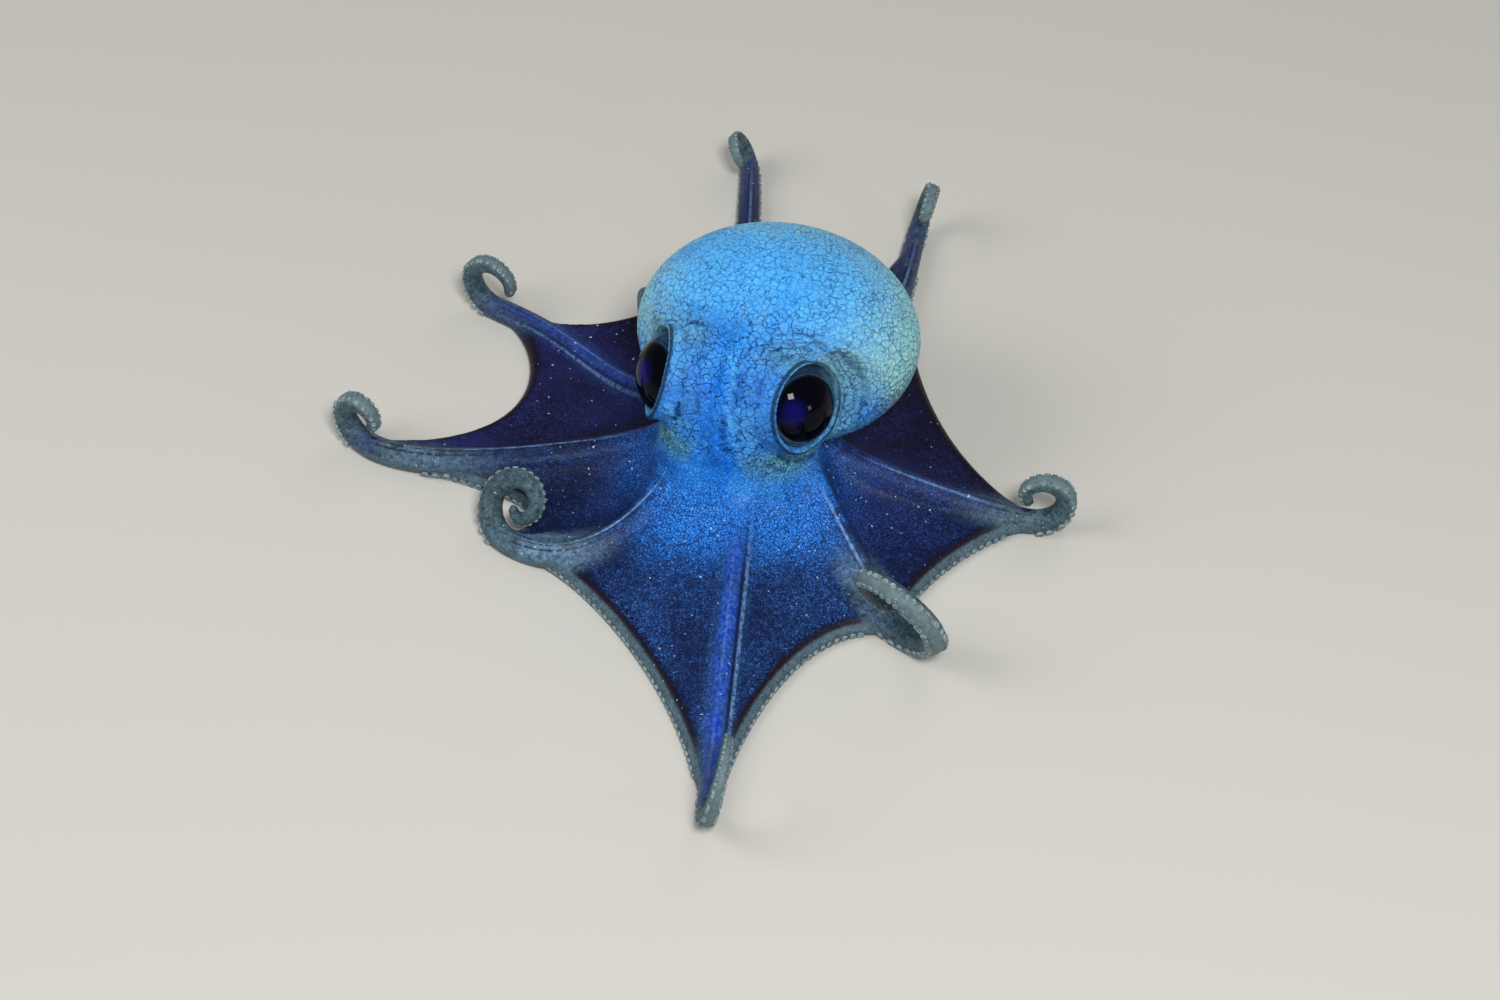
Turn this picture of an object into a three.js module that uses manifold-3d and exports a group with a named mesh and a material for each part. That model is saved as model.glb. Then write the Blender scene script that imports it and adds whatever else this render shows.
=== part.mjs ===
// A small web-armed octopus, life size, crouching on a flat floor with its eight arms spread
// and their ends curled up. Millimetres, +Z up. It faces -Y and its left side is +X.
// The origin is on the floor, under the middle of the whole outline.
import * as THREE from "three";
import { mergeVertices } from "three/addons/utils/BufferGeometryUtils.js";
import Module from "manifold-3d";

const wasm = await Module();
wasm.setup();

// ---- Driving dimensions ----
const GAP = 0.3; // left between two pieces that meet
const MOUTH = { x: 5.9, y: 1.3 }; // floor point under the mouth, from the origin

const MANTLE = { x: 1.4, y: 8.5, z: 21.2, halfWidth: 21.3, halfLength: 18.8, halfHeight: 14.2 };

// Level rings of the head and the crown that carries the arms, from below to the top of the brow.
const HEAD_RINGS = [
  { z: 3.4, y: -2, halfWidth: 6, halfDepth: 6 },
  { z: 4.6, y: -2, halfWidth: 10.5, halfDepth: 10 },
  { z: 8, y: -4, halfWidth: 12, halfDepth: 11 },
  { z: 12, y: -5, halfWidth: 11.8, halfDepth: 10.3 },
  { z: 16, y: -5.6, halfWidth: 11.4, halfDepth: 9.8 },
  { z: 20, y: -5.8, halfWidth: 11, halfDepth: 9.4 },
  { z: 24, y: -5.4, halfWidth: 10.2, halfDepth: 9 },
  { z: 28, y: -4.2, halfWidth: 8.6, halfDepth: 8 },
  { z: 31, y: -2.5, halfWidth: 5.5, halfDepth: 6 },
  { z: 32.2, y: -1.5, halfWidth: 2, halfDepth: 2.5 },
];
const CROWN_TOP = 9; // height where the crown of the arms gives way to the head
const NECK = { tilt: 19, away: 10.4 }; // plane between head and mantle: degrees, and distance from the mouth

const EYE = {
  x: 8,
  y: -6.4,
  z: 22.6,
  radius: 7,
  opening: 6.2, // radius of the round opening between the lids
  depth: 2, // how far the ball goes in behind its own middle
  lids: { radius: 8.25, back: 1.6 }, // bulge of skin round the ball
  looks: new THREE.Vector3(0.89, -0.35, 0.29).normalize(),
};

// A bent tube that thins from its root to its mouth, which is bored out a little way.
const FUNNEL = {
  from: new THREE.Vector3(-12, 7, 12),
  through: new THREE.Vector3(-19, 8, 13),
  to: new THREE.Vector3(-22.3, 15, 16),
  rootRadius: 2.8,
  mouthRadius: 1.5,
  bore: 0.8,
  boredSteps: 2,
};

const ARM = { rootRadius: 2.6, startsAt: 11, axisHeight: 1.5, sides: 8 };

// Angles are in degrees and bearings turn from straight ahead towards the animal's left.
// root and height: where the arm leaves the crown, and drop: how steeply. reach and bearing: where its run
// on the floor ends, and heading: the way it points there. leave and arrive: stiffness of the two ends.
// curl: the angle that the end turns through, the first and last radius of the turn, and its lean to the side.
// thick: the arm's own radius where the curl starts, and at its tip.
const ARMS = [
  { name: "left_1", root: 16, height: 10.5, drop: 60, reach: 65.6, bearing: 15, heading: 13,
    leave: 0.1, arrive: 0.16, curl: { turn: 232, first: 7.1, last: 4.4, lean: 13 }, thick: [1.4, 0.65] },
  { name: "left_2", root: 62, height: 10.5, drop: 47, reach: 39.8, bearing: 51.5, heading: 68,
    leave: 0.29, arrive: 0.1, curl: { turn: 385, first: 9.7, last: 1.6, lean: -21 }, thick: [2, 0.9] },
  { name: "left_3", root: 98, height: 8, drop: 48, reach: 43.8, bearing: 93.5, heading: 107,
    leave: 0.2, arrive: 0.18, curl: { turn: 310, first: 4.9, last: 1.7, lean: 0 }, thick: [1.9, 0.95] },
  { name: "left_4", root: 150, height: 7.5, drop: 15, reach: 57.6, bearing: 172.3, heading: 189,
    leave: 0.32, arrive: 0.29, curl: { turn: 252, first: 5.9, last: 2.5, lean: -13 }, thick: [1.6, 1.05] },
  { name: "right_4", root: -157, height: 7.5, drop: 15, reach: 69.6, bearing: -160, heading: -160,
    leave: 0.33, arrive: 0.24, curl: { turn: 270, first: 3.6, last: 2.2, lean: 22 }, thick: [1.6, 0.95] },
  { name: "right_3", root: -108, height: 8.5, drop: 36, reach: 52.9, bearing: -111.2, heading: -101.5,
    leave: 0.45, arrive: 0.44, curl: { turn: 290, first: 5.2, last: 2.6, lean: 0 }, thick: [1.9, 0.95] },
  { name: "right_2", root: -69, height: 8.5, drop: 46, reach: 57.8, bearing: -73.7, heading: -107,
    leave: 0.12, arrive: 0.27, curl: { turn: 320, first: 5, last: 1.3, lean: 0 }, thick: [2, 0.95] },
  { name: "right_1", root: -30, height: 10.5, drop: 45, reach: 39.2, bearing: -44.7, heading: -106,
    leave: 0.3, arrive: 0.52, curl: { turn: 430, first: 5.7, last: 0.95, lean: -38 }, thick: [2, 0.75] },
];
const RUN_STEPS = 12; // lengths that an arm's run is swept in
const CURL_STEP = 28; // degrees of curl in one length

const WEB = { thickness: 1.1, rim: 1.9, sag: 1.2, across: 7, out: 7 };
// How deeply each free edge is drawn in beside its first and its second arm, and how near the mouth lies
// the place it is drawn to, from 0 between the arms' ends to 1. The first row is between left_1 and left_2.
const NOTCHES = [
  [0.6, 0.5, 0.5],
  [0.3, 0.3, 0.5],
  [0.6, 0.6, 0.5],
  [0.55, 0.55, 1],
  [0.55, 0.3, 1],
  [0.25, 0.5, 1],
  [0.1, 0.1, 0.5],
  [0.4, 0.48, 0.5],
];

// How many flats the round shapes have: around, and for most of them from end to end.
const FLATS = {
  mantle: [28, 18],
  head: 24,
  lids: [16, 10],
  eye: [16, 8],
  funnel: [10, 8],
};

// ---- Helpers ----
const degrees = THREE.MathUtils.degToRad;
const mix = THREE.MathUtils.lerp;
const up = new THREE.Vector3(0, 0, 1);
const bearingVector = (bearing) => new THREE.Vector3(0, -1, 0).applyAxisAngle(up, degrees(bearing));

function toSolid(geometry) {
  const bare = geometry.clone();
  bare.deleteAttribute("normal");
  bare.deleteAttribute("uv");
  const merged = mergeVertices(bare, 1e-4);
  const mesh = { numProp: 3, vertProperties: merged.attributes.position.array };
  return new wasm.Manifold(new wasm.Mesh({ ...mesh, triVerts: new Uint32Array(merged.index.array) }));
}

function toGeometry(solid) {
  const mesh = solid.getMesh();
  return new THREE.BufferGeometry()
    .setAttribute("position", new THREE.BufferAttribute(mesh.vertProperties, 3))
    .setIndex(new THREE.BufferAttribute(mesh.triVerts, 1));
}

// A closed surface through rings of equal length, each anticlockwise seen from the end of the row.
function loft(rings) {
  const around = rings[0].length;
  const points = rings.flat();
  const faces = [];
  for (let row = 0; row + 1 < rings.length; row++)
    for (let k = 0; k < around; k++) {
      const a = row * around + k;
      const b = row * around + ((k + 1) % around);
      faces.push(a, b, b + around, a, b + around, a + around);
    }
  // Each end is closed by a ladder between the two halves of its ring.
  for (const [ring, flip] of [[0, true], [rings.length - 1, false]])
    for (let k = 0; k < around / 2 - 1; k++) {
      const [a, b, c, d] = [k, k + 1, around - 2 - k, around - 1 - k].map((n) => ring * around + n);
      faces.push(...(flip ? [a, c, b, a, d, c] : [a, b, c, a, c, d]));
    }
  return new THREE.BufferGeometry().setFromPoints(points).setIndex(faces);
}

const biggest = (solid) => solid.decompose().sort((a, b) => b.volume() - a.volume())[0];

// Everything on one side of a plane: dot(normal, point) > away.
function halfSpace(normal, away) {
  const size = 400;
  const box = new THREE.BoxGeometry(size, size, size).translate(0, 0, size / 2 + away);
  return toSolid(box.applyQuaternion(new THREE.Quaternion().setFromUnitVectors(up, normal)));
}

// ---- Mantle, head and crown ----
const ball = (radius, flats) => new THREE.SphereGeometry(radius, ...flats).rotateX(Math.PI / 2);

function mantleSolid(grow = 0) {
  const { x, y, z, halfWidth, halfLength, halfHeight } = MANTLE;
  const sphere = ball(1, FLATS.mantle).scale(halfWidth + grow, halfLength + grow, halfHeight + grow);
  return toSolid(sphere.translate(x, y, z));
}

function headSolid(grow = 0) {
  const rings = HEAD_RINGS.map(({ z, y, halfWidth, halfDepth }, i) =>
    Array.from({ length: FLATS.head }, (_, k) => {
      const angle = (2 * Math.PI * k) / FLATS.head;
      const rise = i === 0 ? -grow : i === HEAD_RINGS.length - 1 ? grow : 0;
      const x = (halfWidth + grow) * Math.cos(angle);
      return new THREE.Vector3(x, y + (halfDepth + grow) * Math.sin(angle), z + rise);
    }),
  );
  const lids = [1, -1].map((side) => {
    const { middle, looks } = eyePlace(side);
    middle.addScaledVector(looks, -EYE.lids.back);
    return toSolid(ball(EYE.lids.radius + grow, FLATS.lids).translate(...middle.toArray()));
  });
  return toSolid(loft(rings)).add(lids[0]).add(lids[1]);
}

function eyePlace(side) {
  const mirror = new THREE.Vector3(side, 1, 1);
  return { middle: new THREE.Vector3(EYE.x * side, EYE.y, EYE.z), looks: EYE.looks.clone().multiply(mirror) };
}

// A dome of the ball, cut flat behind. Grown, it is the socket, with a straight round opening in front.
function eyeSolid(side, grow = 0) {
  const [around, steps] = FLATS.eye;
  const { middle, looks } = eyePlace(side);
  const radius = EYE.radius + grow;
  const depth = EYE.depth + grow;
  const profile = [new THREE.Vector2(0, -depth)];
  const first = Math.asin(-depth / radius);
  const opening = grow ? EYE.opening : 0;
  for (let k = 0; k < steps; k++) {
    const angle = mix(first, Math.PI / 2, k / steps);
    profile.push(new THREE.Vector2(Math.max(radius * Math.cos(angle), opening), radius * Math.sin(angle)));
  }
  const front = grow ? radius + 1 : radius;
  if (grow) profile.push(new THREE.Vector2(opening, front));
  profile.push(new THREE.Vector2(0, front));
  const turn = new THREE.Quaternion().setFromUnitVectors(new THREE.Vector3(0, 1, 0), looks);
  const dome = new THREE.LatheGeometry(profile, around);
  return toSolid(dome.applyQuaternion(turn).translate(...middle.toArray()));
}

// ---- Tubes: arms and funnel ----
// A closed tube through a row of stations, grown all round and shortened by trim at each end.
function tube(stations, sides, grow = 0, trim = 0) {
  const rings = stations.map(({ point, tangent, back, radius }, i) => {
    const side = new THREE.Vector3().crossVectors(back, tangent);
    const shift = i === 0 ? trim : i === stations.length - 1 ? -trim : 0;
    return Array.from({ length: sides }, (_, k) => {
      const angle = (2 * Math.PI * (k + 0.5)) / sides;
      return point
        .clone()
        .addScaledVector(tangent, shift)
        .addScaledVector(side, (radius + grow) * Math.cos(angle))
        .addScaledVector(back, (radius + grow) * Math.sin(angle));
    });
  });
  return toSolid(loft(rings));
}

// Adds to each station its tangent, and the side of the tube that faces up at its first end.
function withFrames(stations) {
  let back = up;
  stations.forEach((station, i) => {
    const before = stations[Math.max(i - 1, 0)].point;
    const after = stations[Math.min(i + 1, stations.length - 1)].point;
    station.tangent = after.clone().sub(before).normalize();
    back = back.clone().addScaledVector(station.tangent, -back.dot(station.tangent)).normalize();
    station.back = back;
  });
  return stations;
}

function armStations({ root, height, drop, reach, bearing, heading, leave, arrive, curl, thick }) {
  const start = bearingVector(root).multiplyScalar(ARM.startsAt).setZ(height);
  const end = bearingVector(bearing).multiplyScalar(reach).setZ(ARM.axisHeight);
  const span = start.distanceTo(end);
  const away = bearingVector(root).multiplyScalar(Math.cos(degrees(drop))).setZ(-Math.sin(degrees(drop)));
  const aim = bearingVector(heading);
  const run = new THREE.CubicBezierCurve3(
    start,
    start.clone().addScaledVector(away, span * leave),
    end.clone().addScaledVector(aim, -span * arrive),
    end,
  );
  const stations = run.getSpacedPoints(RUN_STEPS).map((point, i) => ({
    point,
    radius: mix(ARM.rootRadius, thick[0], i / RUN_STEPS),
  }));
  const steps = Math.round(curl.turn / CURL_STEP);
  const angle = degrees(curl.turn) / steps;
  const tangent = aim.clone();
  const inward = up.clone().applyAxisAngle(aim, -degrees(curl.lean));
  const spin = new THREE.Vector3().crossVectors(tangent, inward);
  const point = end.clone();
  for (let k = 0; k < steps; k++) {
    const middle = point.clone().addScaledVector(inward, mix(curl.first, curl.last, k / steps));
    point.sub(middle).applyAxisAngle(spin, angle).add(middle);
    inward.applyAxisAngle(spin, angle);
    stations.push({ point: point.clone(), radius: mix(...thick, (k + 1) / steps) });
  }
  return withFrames(stations);
}

function funnelSolid() {
  const { from, through, to, rootRadius, mouthRadius, bore, boredSteps } = FUNNEL;
  const [around, steps] = FLATS.funnel;
  const path = new THREE.QuadraticBezierCurve3(from, through, to).getSpacedPoints(steps);
  const outer = path.map((point, i) => ({ point, radius: mix(rootRadius, mouthRadius, i / steps) }));
  const inner = path.slice(-1 - boredSteps).map((point) => ({ point: point.clone(), radius: bore }));
  withFrames(inner);
  const mouth = inner[inner.length - 1];
  mouth.point.addScaledVector(mouth.tangent, 1);
  return tube(withFrames(outer), around).subtract(tube(inner, around));
}

// ---- Webs ----
// A thin sheet between two neighbouring arms: its sides follow the arms, its inner end the crown,
// and its free outer edge is a hollow curve.
function webSolid(first, second, [besideFirst, besideSecond, nearMouth]) {
  const { across, out } = WEB;
  const flank = (stations, side) =>
    stations.slice(0, RUN_STEPS + 1).map(({ point, tangent, radius }) => {
      const sideways = new THREE.Vector3(-tangent.y, tangent.x, 0).normalize();
      return point.clone().addScaledVector(sideways, side * (radius + GAP));
    });
  const sides = [flank(first, 1), flank(second, -1)].map((points) => new THREE.CatmullRomCurve3(points));
  const sideAt = (i, v) => sides[i].getPoint(v);
  const middle = sideAt(0, 1).lerp(sideAt(1, 1), 0.5);
  const pulled = middle.lerp(new THREE.Vector3(0, 0, ARM.axisHeight), nearMouth);
  const edge = new THREE.CubicBezierCurve3(
    sideAt(0, 1),
    sideAt(0, 1).lerp(pulled, besideFirst),
    sideAt(1, 1).lerp(pulled, besideSecond),
    sideAt(1, 1),
  );
  const inner = new THREE.LineCurve3(sideAt(0, 0), sideAt(1, 0));
  const rows = [];
  for (let j = 0; j <= out; j++) {
    const v = j / out;
    const top = [];
    const bottom = [];
    for (let i = 0; i <= across; i++) {
      const u = i / across;
      const point = sideAt(0, v).multiplyScalar(1 - u).addScaledVector(sideAt(1, v), u);
      point.addScaledVector(inner.getPoint(u), 1 - v).addScaledVector(edge.getPoint(u), v);
      for (const [side, beside] of [[0, 1 - u], [1, u]])
        for (const [end, near] of [[0, 1 - v], [1, v]])
          point.addScaledVector(sideAt(side, end), -beside * near);
      point.z -= WEB.sag * Math.sin(Math.PI * u) * Math.sin(Math.PI * v);
      const half = mix(WEB.thickness, WEB.rim, v ** 8) / 2;
      point.z = Math.max(point.z, half);
      top.push(point.clone().setZ(point.z + half));
      bottom.push(point.clone().setZ(point.z - half));
    }
    rows.push([...bottom, ...top.reverse()]);
  }
  return toSolid(loft(rows));
}

// ---- Assembly ----
const paleSkin = new THREE.MeshStandardMaterial({ color: 0x5fa8cf, roughness: 0.45, metalness: 0 });
const blueSkin = new THREE.MeshStandardMaterial({ color: 0x2f6fbf, roughness: 0.45, metalness: 0 });
const webSkin = new THREE.MeshStandardMaterial({ color: 0x28265f, roughness: 0.45, metalness: 0 });
const eyeBlack = new THREE.MeshStandardMaterial({ color: 0x05060f, roughness: 0.08, metalness: 0 });

const animal = new THREE.Group();
animal.position.set(MOUTH.x, MOUTH.y, 0);
function add(name, solid, material) {
  const mesh = new THREE.Mesh(toGeometry(solid), material);
  mesh.name = name;
  animal.add(mesh);
}

const aboveFloor = halfSpace(up, 0);
const neckNormal = new THREE.Vector3(0, Math.cos(degrees(NECK.tilt)), Math.sin(degrees(NECK.tilt)));
const bodyGrown = headSolid(GAP).add(mantleSolid(GAP));
const body = headSolid().add(mantleSolid());
const eyesGrown = eyeSolid(1, GAP).add(eyeSolid(-1, GAP));
const front = body.subtract(halfSpace(neckNormal, NECK.away - GAP / 2)).subtract(eyesGrown);
const rear = body.intersect(halfSpace(neckNormal, NECK.away + GAP / 2)).subtract(eyesGrown);

add("mantle", biggest(rear), paleSkin);
add("head", biggest(front.intersect(halfSpace(up, CROWN_TOP + GAP / 2))), blueSkin);
add("crown", biggest(front.subtract(halfSpace(up, CROWN_TOP - GAP / 2))), blueSkin);
add("eye_left", eyeSolid(1), eyeBlack);
add("eye_right", eyeSolid(-1), eyeBlack);
add("funnel", biggest(funnelSolid().subtract(bodyGrown)), paleSkin);

const arms = ARMS.map(armStations);
const halfRun = RUN_STEPS / 2;
const lengths = [["base", 0, halfRun], ["middle", halfRun, RUN_STEPS], ["tip", RUN_STEPS, undefined]];
ARMS.forEach(({ name }, i) => {
  for (const [length, first, last] of lengths) {
    const stations = arms[i].slice(first, last === undefined ? undefined : last + 1);
    const piece = tube(stations, ARM.sides, 0, GAP / 2).subtract(bodyGrown).intersect(aboveFloor);
    add(`arm_${name}_${length}`, biggest(piece), webSkin);
  }
});
ARMS.forEach(({ name }, i) => {
  const next = (i + 1) % ARMS.length;
  const [curl, nextCurl] = [i, next].map((k) => tube(arms[k].slice(RUN_STEPS), ARM.sides, GAP));
  const web = webSolid(arms[i], arms[next], NOTCHES[i]).subtract(bodyGrown).subtract(curl).subtract(nextCurl);
  add(`web_${name}_to_${ARMS[next].name}`, biggest(web.intersect(aboveFloor)), webSkin);
});

const group = new THREE.Group();
group.add(animal);
export default group;
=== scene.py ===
import math
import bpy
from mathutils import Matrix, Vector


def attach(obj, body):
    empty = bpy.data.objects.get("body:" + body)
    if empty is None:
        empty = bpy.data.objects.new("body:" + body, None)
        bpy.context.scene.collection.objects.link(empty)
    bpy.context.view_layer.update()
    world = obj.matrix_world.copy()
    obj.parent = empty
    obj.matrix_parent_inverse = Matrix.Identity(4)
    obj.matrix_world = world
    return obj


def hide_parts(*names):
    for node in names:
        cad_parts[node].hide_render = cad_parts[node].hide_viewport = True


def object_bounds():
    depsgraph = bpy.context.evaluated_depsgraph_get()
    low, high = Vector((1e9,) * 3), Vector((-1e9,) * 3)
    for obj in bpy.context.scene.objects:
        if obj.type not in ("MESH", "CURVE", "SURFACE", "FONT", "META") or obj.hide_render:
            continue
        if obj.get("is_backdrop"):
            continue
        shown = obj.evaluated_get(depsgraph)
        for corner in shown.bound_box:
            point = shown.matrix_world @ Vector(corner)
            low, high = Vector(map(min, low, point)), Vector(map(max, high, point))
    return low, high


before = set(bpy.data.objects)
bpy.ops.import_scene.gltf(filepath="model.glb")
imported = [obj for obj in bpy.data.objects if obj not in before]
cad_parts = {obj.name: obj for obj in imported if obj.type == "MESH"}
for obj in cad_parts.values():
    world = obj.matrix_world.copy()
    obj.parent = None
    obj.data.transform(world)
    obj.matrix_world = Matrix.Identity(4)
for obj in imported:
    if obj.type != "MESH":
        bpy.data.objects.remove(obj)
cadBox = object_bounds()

from types import SimpleNamespace
import bmesh
import bpy
import numpy as np
from mathutils import Vector, kdtree

# Shapes are worked out in millimetres from the point on the floor under the mouth, as the solids are,
# and become metres in the frame when a mesh is made.
mm = 0.001
mouth = np.array([5.9, 1.3, 0.0])
up = np.array([0.0, 0.0, 1.0])


def unit(v):
    return v / np.linalg.norm(v)


def bearingVector(bearing):
    return np.array([math.sin(math.radians(bearing)), -math.cos(math.radians(bearing)), 0.0])


def turned(v, axis, angle):
    axis = unit(axis)
    kept = axis * (axis @ v) * (1 - math.cos(angle))
    return v * math.cos(angle) + np.cross(axis, v) * math.sin(angle) + kept


def around(count):
    # angles of evenly spaced points on a circle
    return 2 * np.pi * np.arange(count) / count


def bezier(a, b, c, d, t):
    return (1 - t) ** 3 * a + 3 * (1 - t) ** 2 * t * b + 3 * (1 - t) * t**2 * c + t**3 * d


def directions(points, level=False):
    # the way that a line goes at each of its points
    ways = np.gradient(points, axis=0)
    if level:
        ways[:, 2] = 0
    ways /= np.linalg.norm(ways, axis=1, keepdims=True)
    return ways


def evenly(points, count):
    # the same line with its points at equal distances
    steps = np.linalg.norm(np.diff(points, axis=0), axis=1)
    along = np.concatenate([[0], np.cumsum(steps)])
    wanted = np.linspace(0, along[-1], count)
    return np.stack([np.interp(wanted, along, points[:, k]) for k in range(3)], axis=1)


def smoothstep(low, high, value):
    t = np.clip((value - low) / (high - low), 0, 1)
    return t * t * (3 - 2 * t)


def bump(distance, width):
    return np.exp(-((distance / width) ** 2))


def makeMesh(name, points, faces):
    mesh = bpy.data.meshes.new(name)
    mesh.from_pydata([tuple(p) for p in points], [], [tuple(f) for f in faces])
    mesh.update()
    piece = bpy.data.objects.new(name, mesh)
    bpy.context.scene.collection.objects.link(piece)
    return piece


def tubeFaces(rows, columns):
    # the squares between rings of points, where the last column meets the first
    faces = []
    for r in range(rows - 1):
        for c in range(columns):
            a = r * columns + c
            b = r * columns + (c + 1) % columns
            faces.append((a, b, b + columns, a + columns))
    return faces


def loft(rings):
    # a closed surface through rings of equal length
    rows, columns = len(rings), len(rings[0])
    points = [p for ring in rings for p in ring]
    faces = tubeFaces(rows, columns)
    faces.append(tuple(range(columns - 1, -1, -1)))
    faces.append(tuple((rows - 1) * columns + k for k in range(columns)))
    return points, faces


def joined(parts):
    points, faces = [], []
    for partPoints, partFaces in parts:
        shift = len(points)
        points.extend(partPoints)
        faces.extend(tuple(i + shift for i in face) for face in partFaces)
    return points, faces


def ballPart(middle, radii, wide=48, high=32):
    rings = []
    for j in range(1, high):
        polar = math.pi * j / high
        level = math.sin(polar)
        ring = []
        for k in range(wide):
            angle = 2 * math.pi * k / wide
            out = np.array([level * math.cos(angle), level * math.sin(angle), -math.cos(polar)])
            ring.append(np.array(middle) + out * np.array(radii))
        rings.append(ring)
    return loft(rings)


armShape = {
    "rootRadius": 2.6,
    # how far from the mouth the arms start, and how high their runs end
    "startsAt": 11,
    "axisHeight": 1.5,
    "runSteps": 90,
    # degrees of the curl to a step
    "curlStep": 5,
    "sides": 18,
}
# how bright the blue stripe is along the top of each arm
stripes = {
    "left_1": 1,
    "left_2": 0,
    "left_3": 0.3,
    "left_4": 0.1,
    "right_4": 0.1,
    "right_3": 0.5,
    "right_2": 0.12,
    "right_1": 0.04,
}
# how bright and blue each web is, from none to full, in the order of the arms: the webs at the back are
# violet by colour and darker by painted shade
webHueAndShade = (1, 0.5, 0.22, 0.08, 0, 0.16, 0.55, 1)
crestShape = {"radius": 0.75, "height": 0.72, "rise": 0.2, "sunk": 0.5, "fade": 0.3, "sides": 12}
# root, height, drop: where the arm leaves the crown, and how steeply
# reach, bearing, heading: where its run on the floor ends, and the way it points there
# leave, arrive: how far it holds each of these two ways
# curl: degrees turned, first and last radius, lean to the side
# thick: the arm's own radius where the curl starts and at its tip
armTable = [
    {"name": "left_1", "root": 16, "height": 10.5, "drop": 60, "reach": 65.6, "bearing": 15,
     "heading": 13, "leave": 0.1, "arrive": 0.16, "curl": (232, 7.1, 4.4, 13), "thick": (1.4, 0.65)},
    {"name": "left_2", "root": 62, "height": 10.5, "drop": 47, "reach": 39.8, "bearing": 51.5,
     "heading": 68, "leave": 0.29, "arrive": 0.1, "curl": (385, 9.7, 1.6, -21), "thick": (2.0, 0.9)},
    {"name": "left_3", "root": 98, "height": 8, "drop": 48, "reach": 43.8, "bearing": 93.5,
     "heading": 107, "leave": 0.2, "arrive": 0.18, "curl": (310, 4.9, 1.7, 0), "thick": (1.9, 0.95)},
    {"name": "left_4", "root": 150, "height": 7.5, "drop": 15, "reach": 57.6, "bearing": 172.3,
     "heading": 189, "leave": 0.32, "arrive": 0.29, "curl": (252, 5.9, 2.5, -13), "thick": (1.6, 1.05)},
    {"name": "right_4", "root": -157, "height": 7.5, "drop": 15, "reach": 69.6, "bearing": -160,
     "heading": -160, "leave": 0.33, "arrive": 0.24, "curl": (270, 3.6, 2.2, 22), "thick": (1.6, 0.95)},
    {"name": "right_3", "root": -108, "height": 8.5, "drop": 36, "reach": 52.9, "bearing": -111.2,
     "heading": -101.5, "leave": 0.45, "arrive": 0.44, "curl": (290, 5.2, 2.6, 0), "thick": (1.9, 0.95)},
    {"name": "right_2", "root": -69, "height": 8.5, "drop": 46, "reach": 57.8, "bearing": -73.7,
     "heading": -107, "leave": 0.12, "arrive": 0.27, "curl": (320, 5.0, 1.3, 0), "thick": (2.0, 0.95)},
    {"name": "right_1", "root": -30, "height": 10.5, "drop": 45, "reach": 39.2, "bearing": -44.7,
     "heading": -106, "leave": 0.3, "arrive": 0.52, "curl": (430, 5.7, 0.95, -38), "thick": (2.0, 0.75)},
]


def armLine(arm):
    start = bearingVector(arm["root"]) * armShape["startsAt"] + up * arm["height"]
    end = bearingVector(arm["bearing"]) * arm["reach"] + up * armShape["axisHeight"]
    span = np.linalg.norm(end - start)
    drop = math.radians(arm["drop"])
    away = bearingVector(arm["root"]) * math.cos(drop) - up * math.sin(drop)
    aim = bearingVector(arm["heading"])
    leaving, arriving = start + away * span * arm["leave"], end - aim * span * arm["arrive"]
    curve = bezier(start, leaving, arriving, end, np.linspace(0, 1, 400)[:, None])
    steps = armShape["runSteps"]
    points = list(evenly(curve, steps + 1))
    atCurl, atTip = arm["thick"]
    radii = list(np.linspace(armShape["rootRadius"], atCurl, steps + 1))
    turn, first, last, lean = arm["curl"]
    count = round(turn / armShape["curlStep"])
    inward = turned(up, aim, -math.radians(lean))
    spin = np.cross(aim, inward)
    point = end.copy()
    for k in range(count):
        middle = point + inward * (first + (last - first) * k / count)
        point = middle + turned(point - middle, spin, math.radians(turn) / count)
        inward = turned(inward, spin, math.radians(turn) / count)
        points.append(point)
        radii.append(atCurl + (atTip - atCurl) * (k + 1) / count)
    points = np.array(points)
    tangents = directions(points)
    backs, back = [], up
    for tangent in tangents:
        back = unit(back - tangent * (back @ tangent))
        backs.append(back)
    lengths = np.concatenate([[0], np.cumsum(np.linalg.norm(np.diff(points, axis=0), axis=1))])
    backs = np.array(backs)
    return {
        "name": arm["name"],
        "points": points,
        "radii": np.array(radii),
        "tangents": tangents,
        "backs": backs,
        "sides": np.cross(backs, tangents),
        "lengths": lengths,
        # 0 at the crown, 1 where the curl starts, 2 at the tip
        "along": np.concatenate([np.linspace(0, 1, steps + 1), 1 + np.arange(1, count + 1) / count]),
    }


def crestPart(arm):
    # the narrow ridge that an arm makes in the skin above it, fading towards the crown
    shape = crestShape
    run = armShape["runSteps"] + 1
    started = smoothstep(0, shape["fade"], np.linspace(0, 1, run))
    rise = shape["rise"] * started - shape["sunk"] * (1 - started)
    tangents, backs = arm["tangents"][:run], arm["backs"][:run]
    points = arm["points"][:run] + backs * (arm["radii"][:run, None] * shape["height"] + rise[:, None])
    return tubePart(points, tangents, backs, np.full(run, shape["radius"]), shape["sides"])


def tubePart(points, tangents, backs, radii, sides):
    across = np.cross(backs, tangents)
    wide, high = np.cos(around(sides))[:, None], np.sin(around(sides))[:, None]
    rings = [points[i] + radii[i] * (wide * across[i] + high * backs[i]) for i in range(len(points))]
    # a round end
    tip, tangent, radius = points[-1], tangents[-1], radii[-1]
    for lift in (0.5, 0.85):
        rings.append(tip + tangent * radius * lift + (rings[len(points) - 1] - tip) * math.sqrt(1 - lift**2))
    return loft([list(ring) for ring in rings])


arms = [armLine(arm) for arm in armTable]
print("arms laid out")

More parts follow.
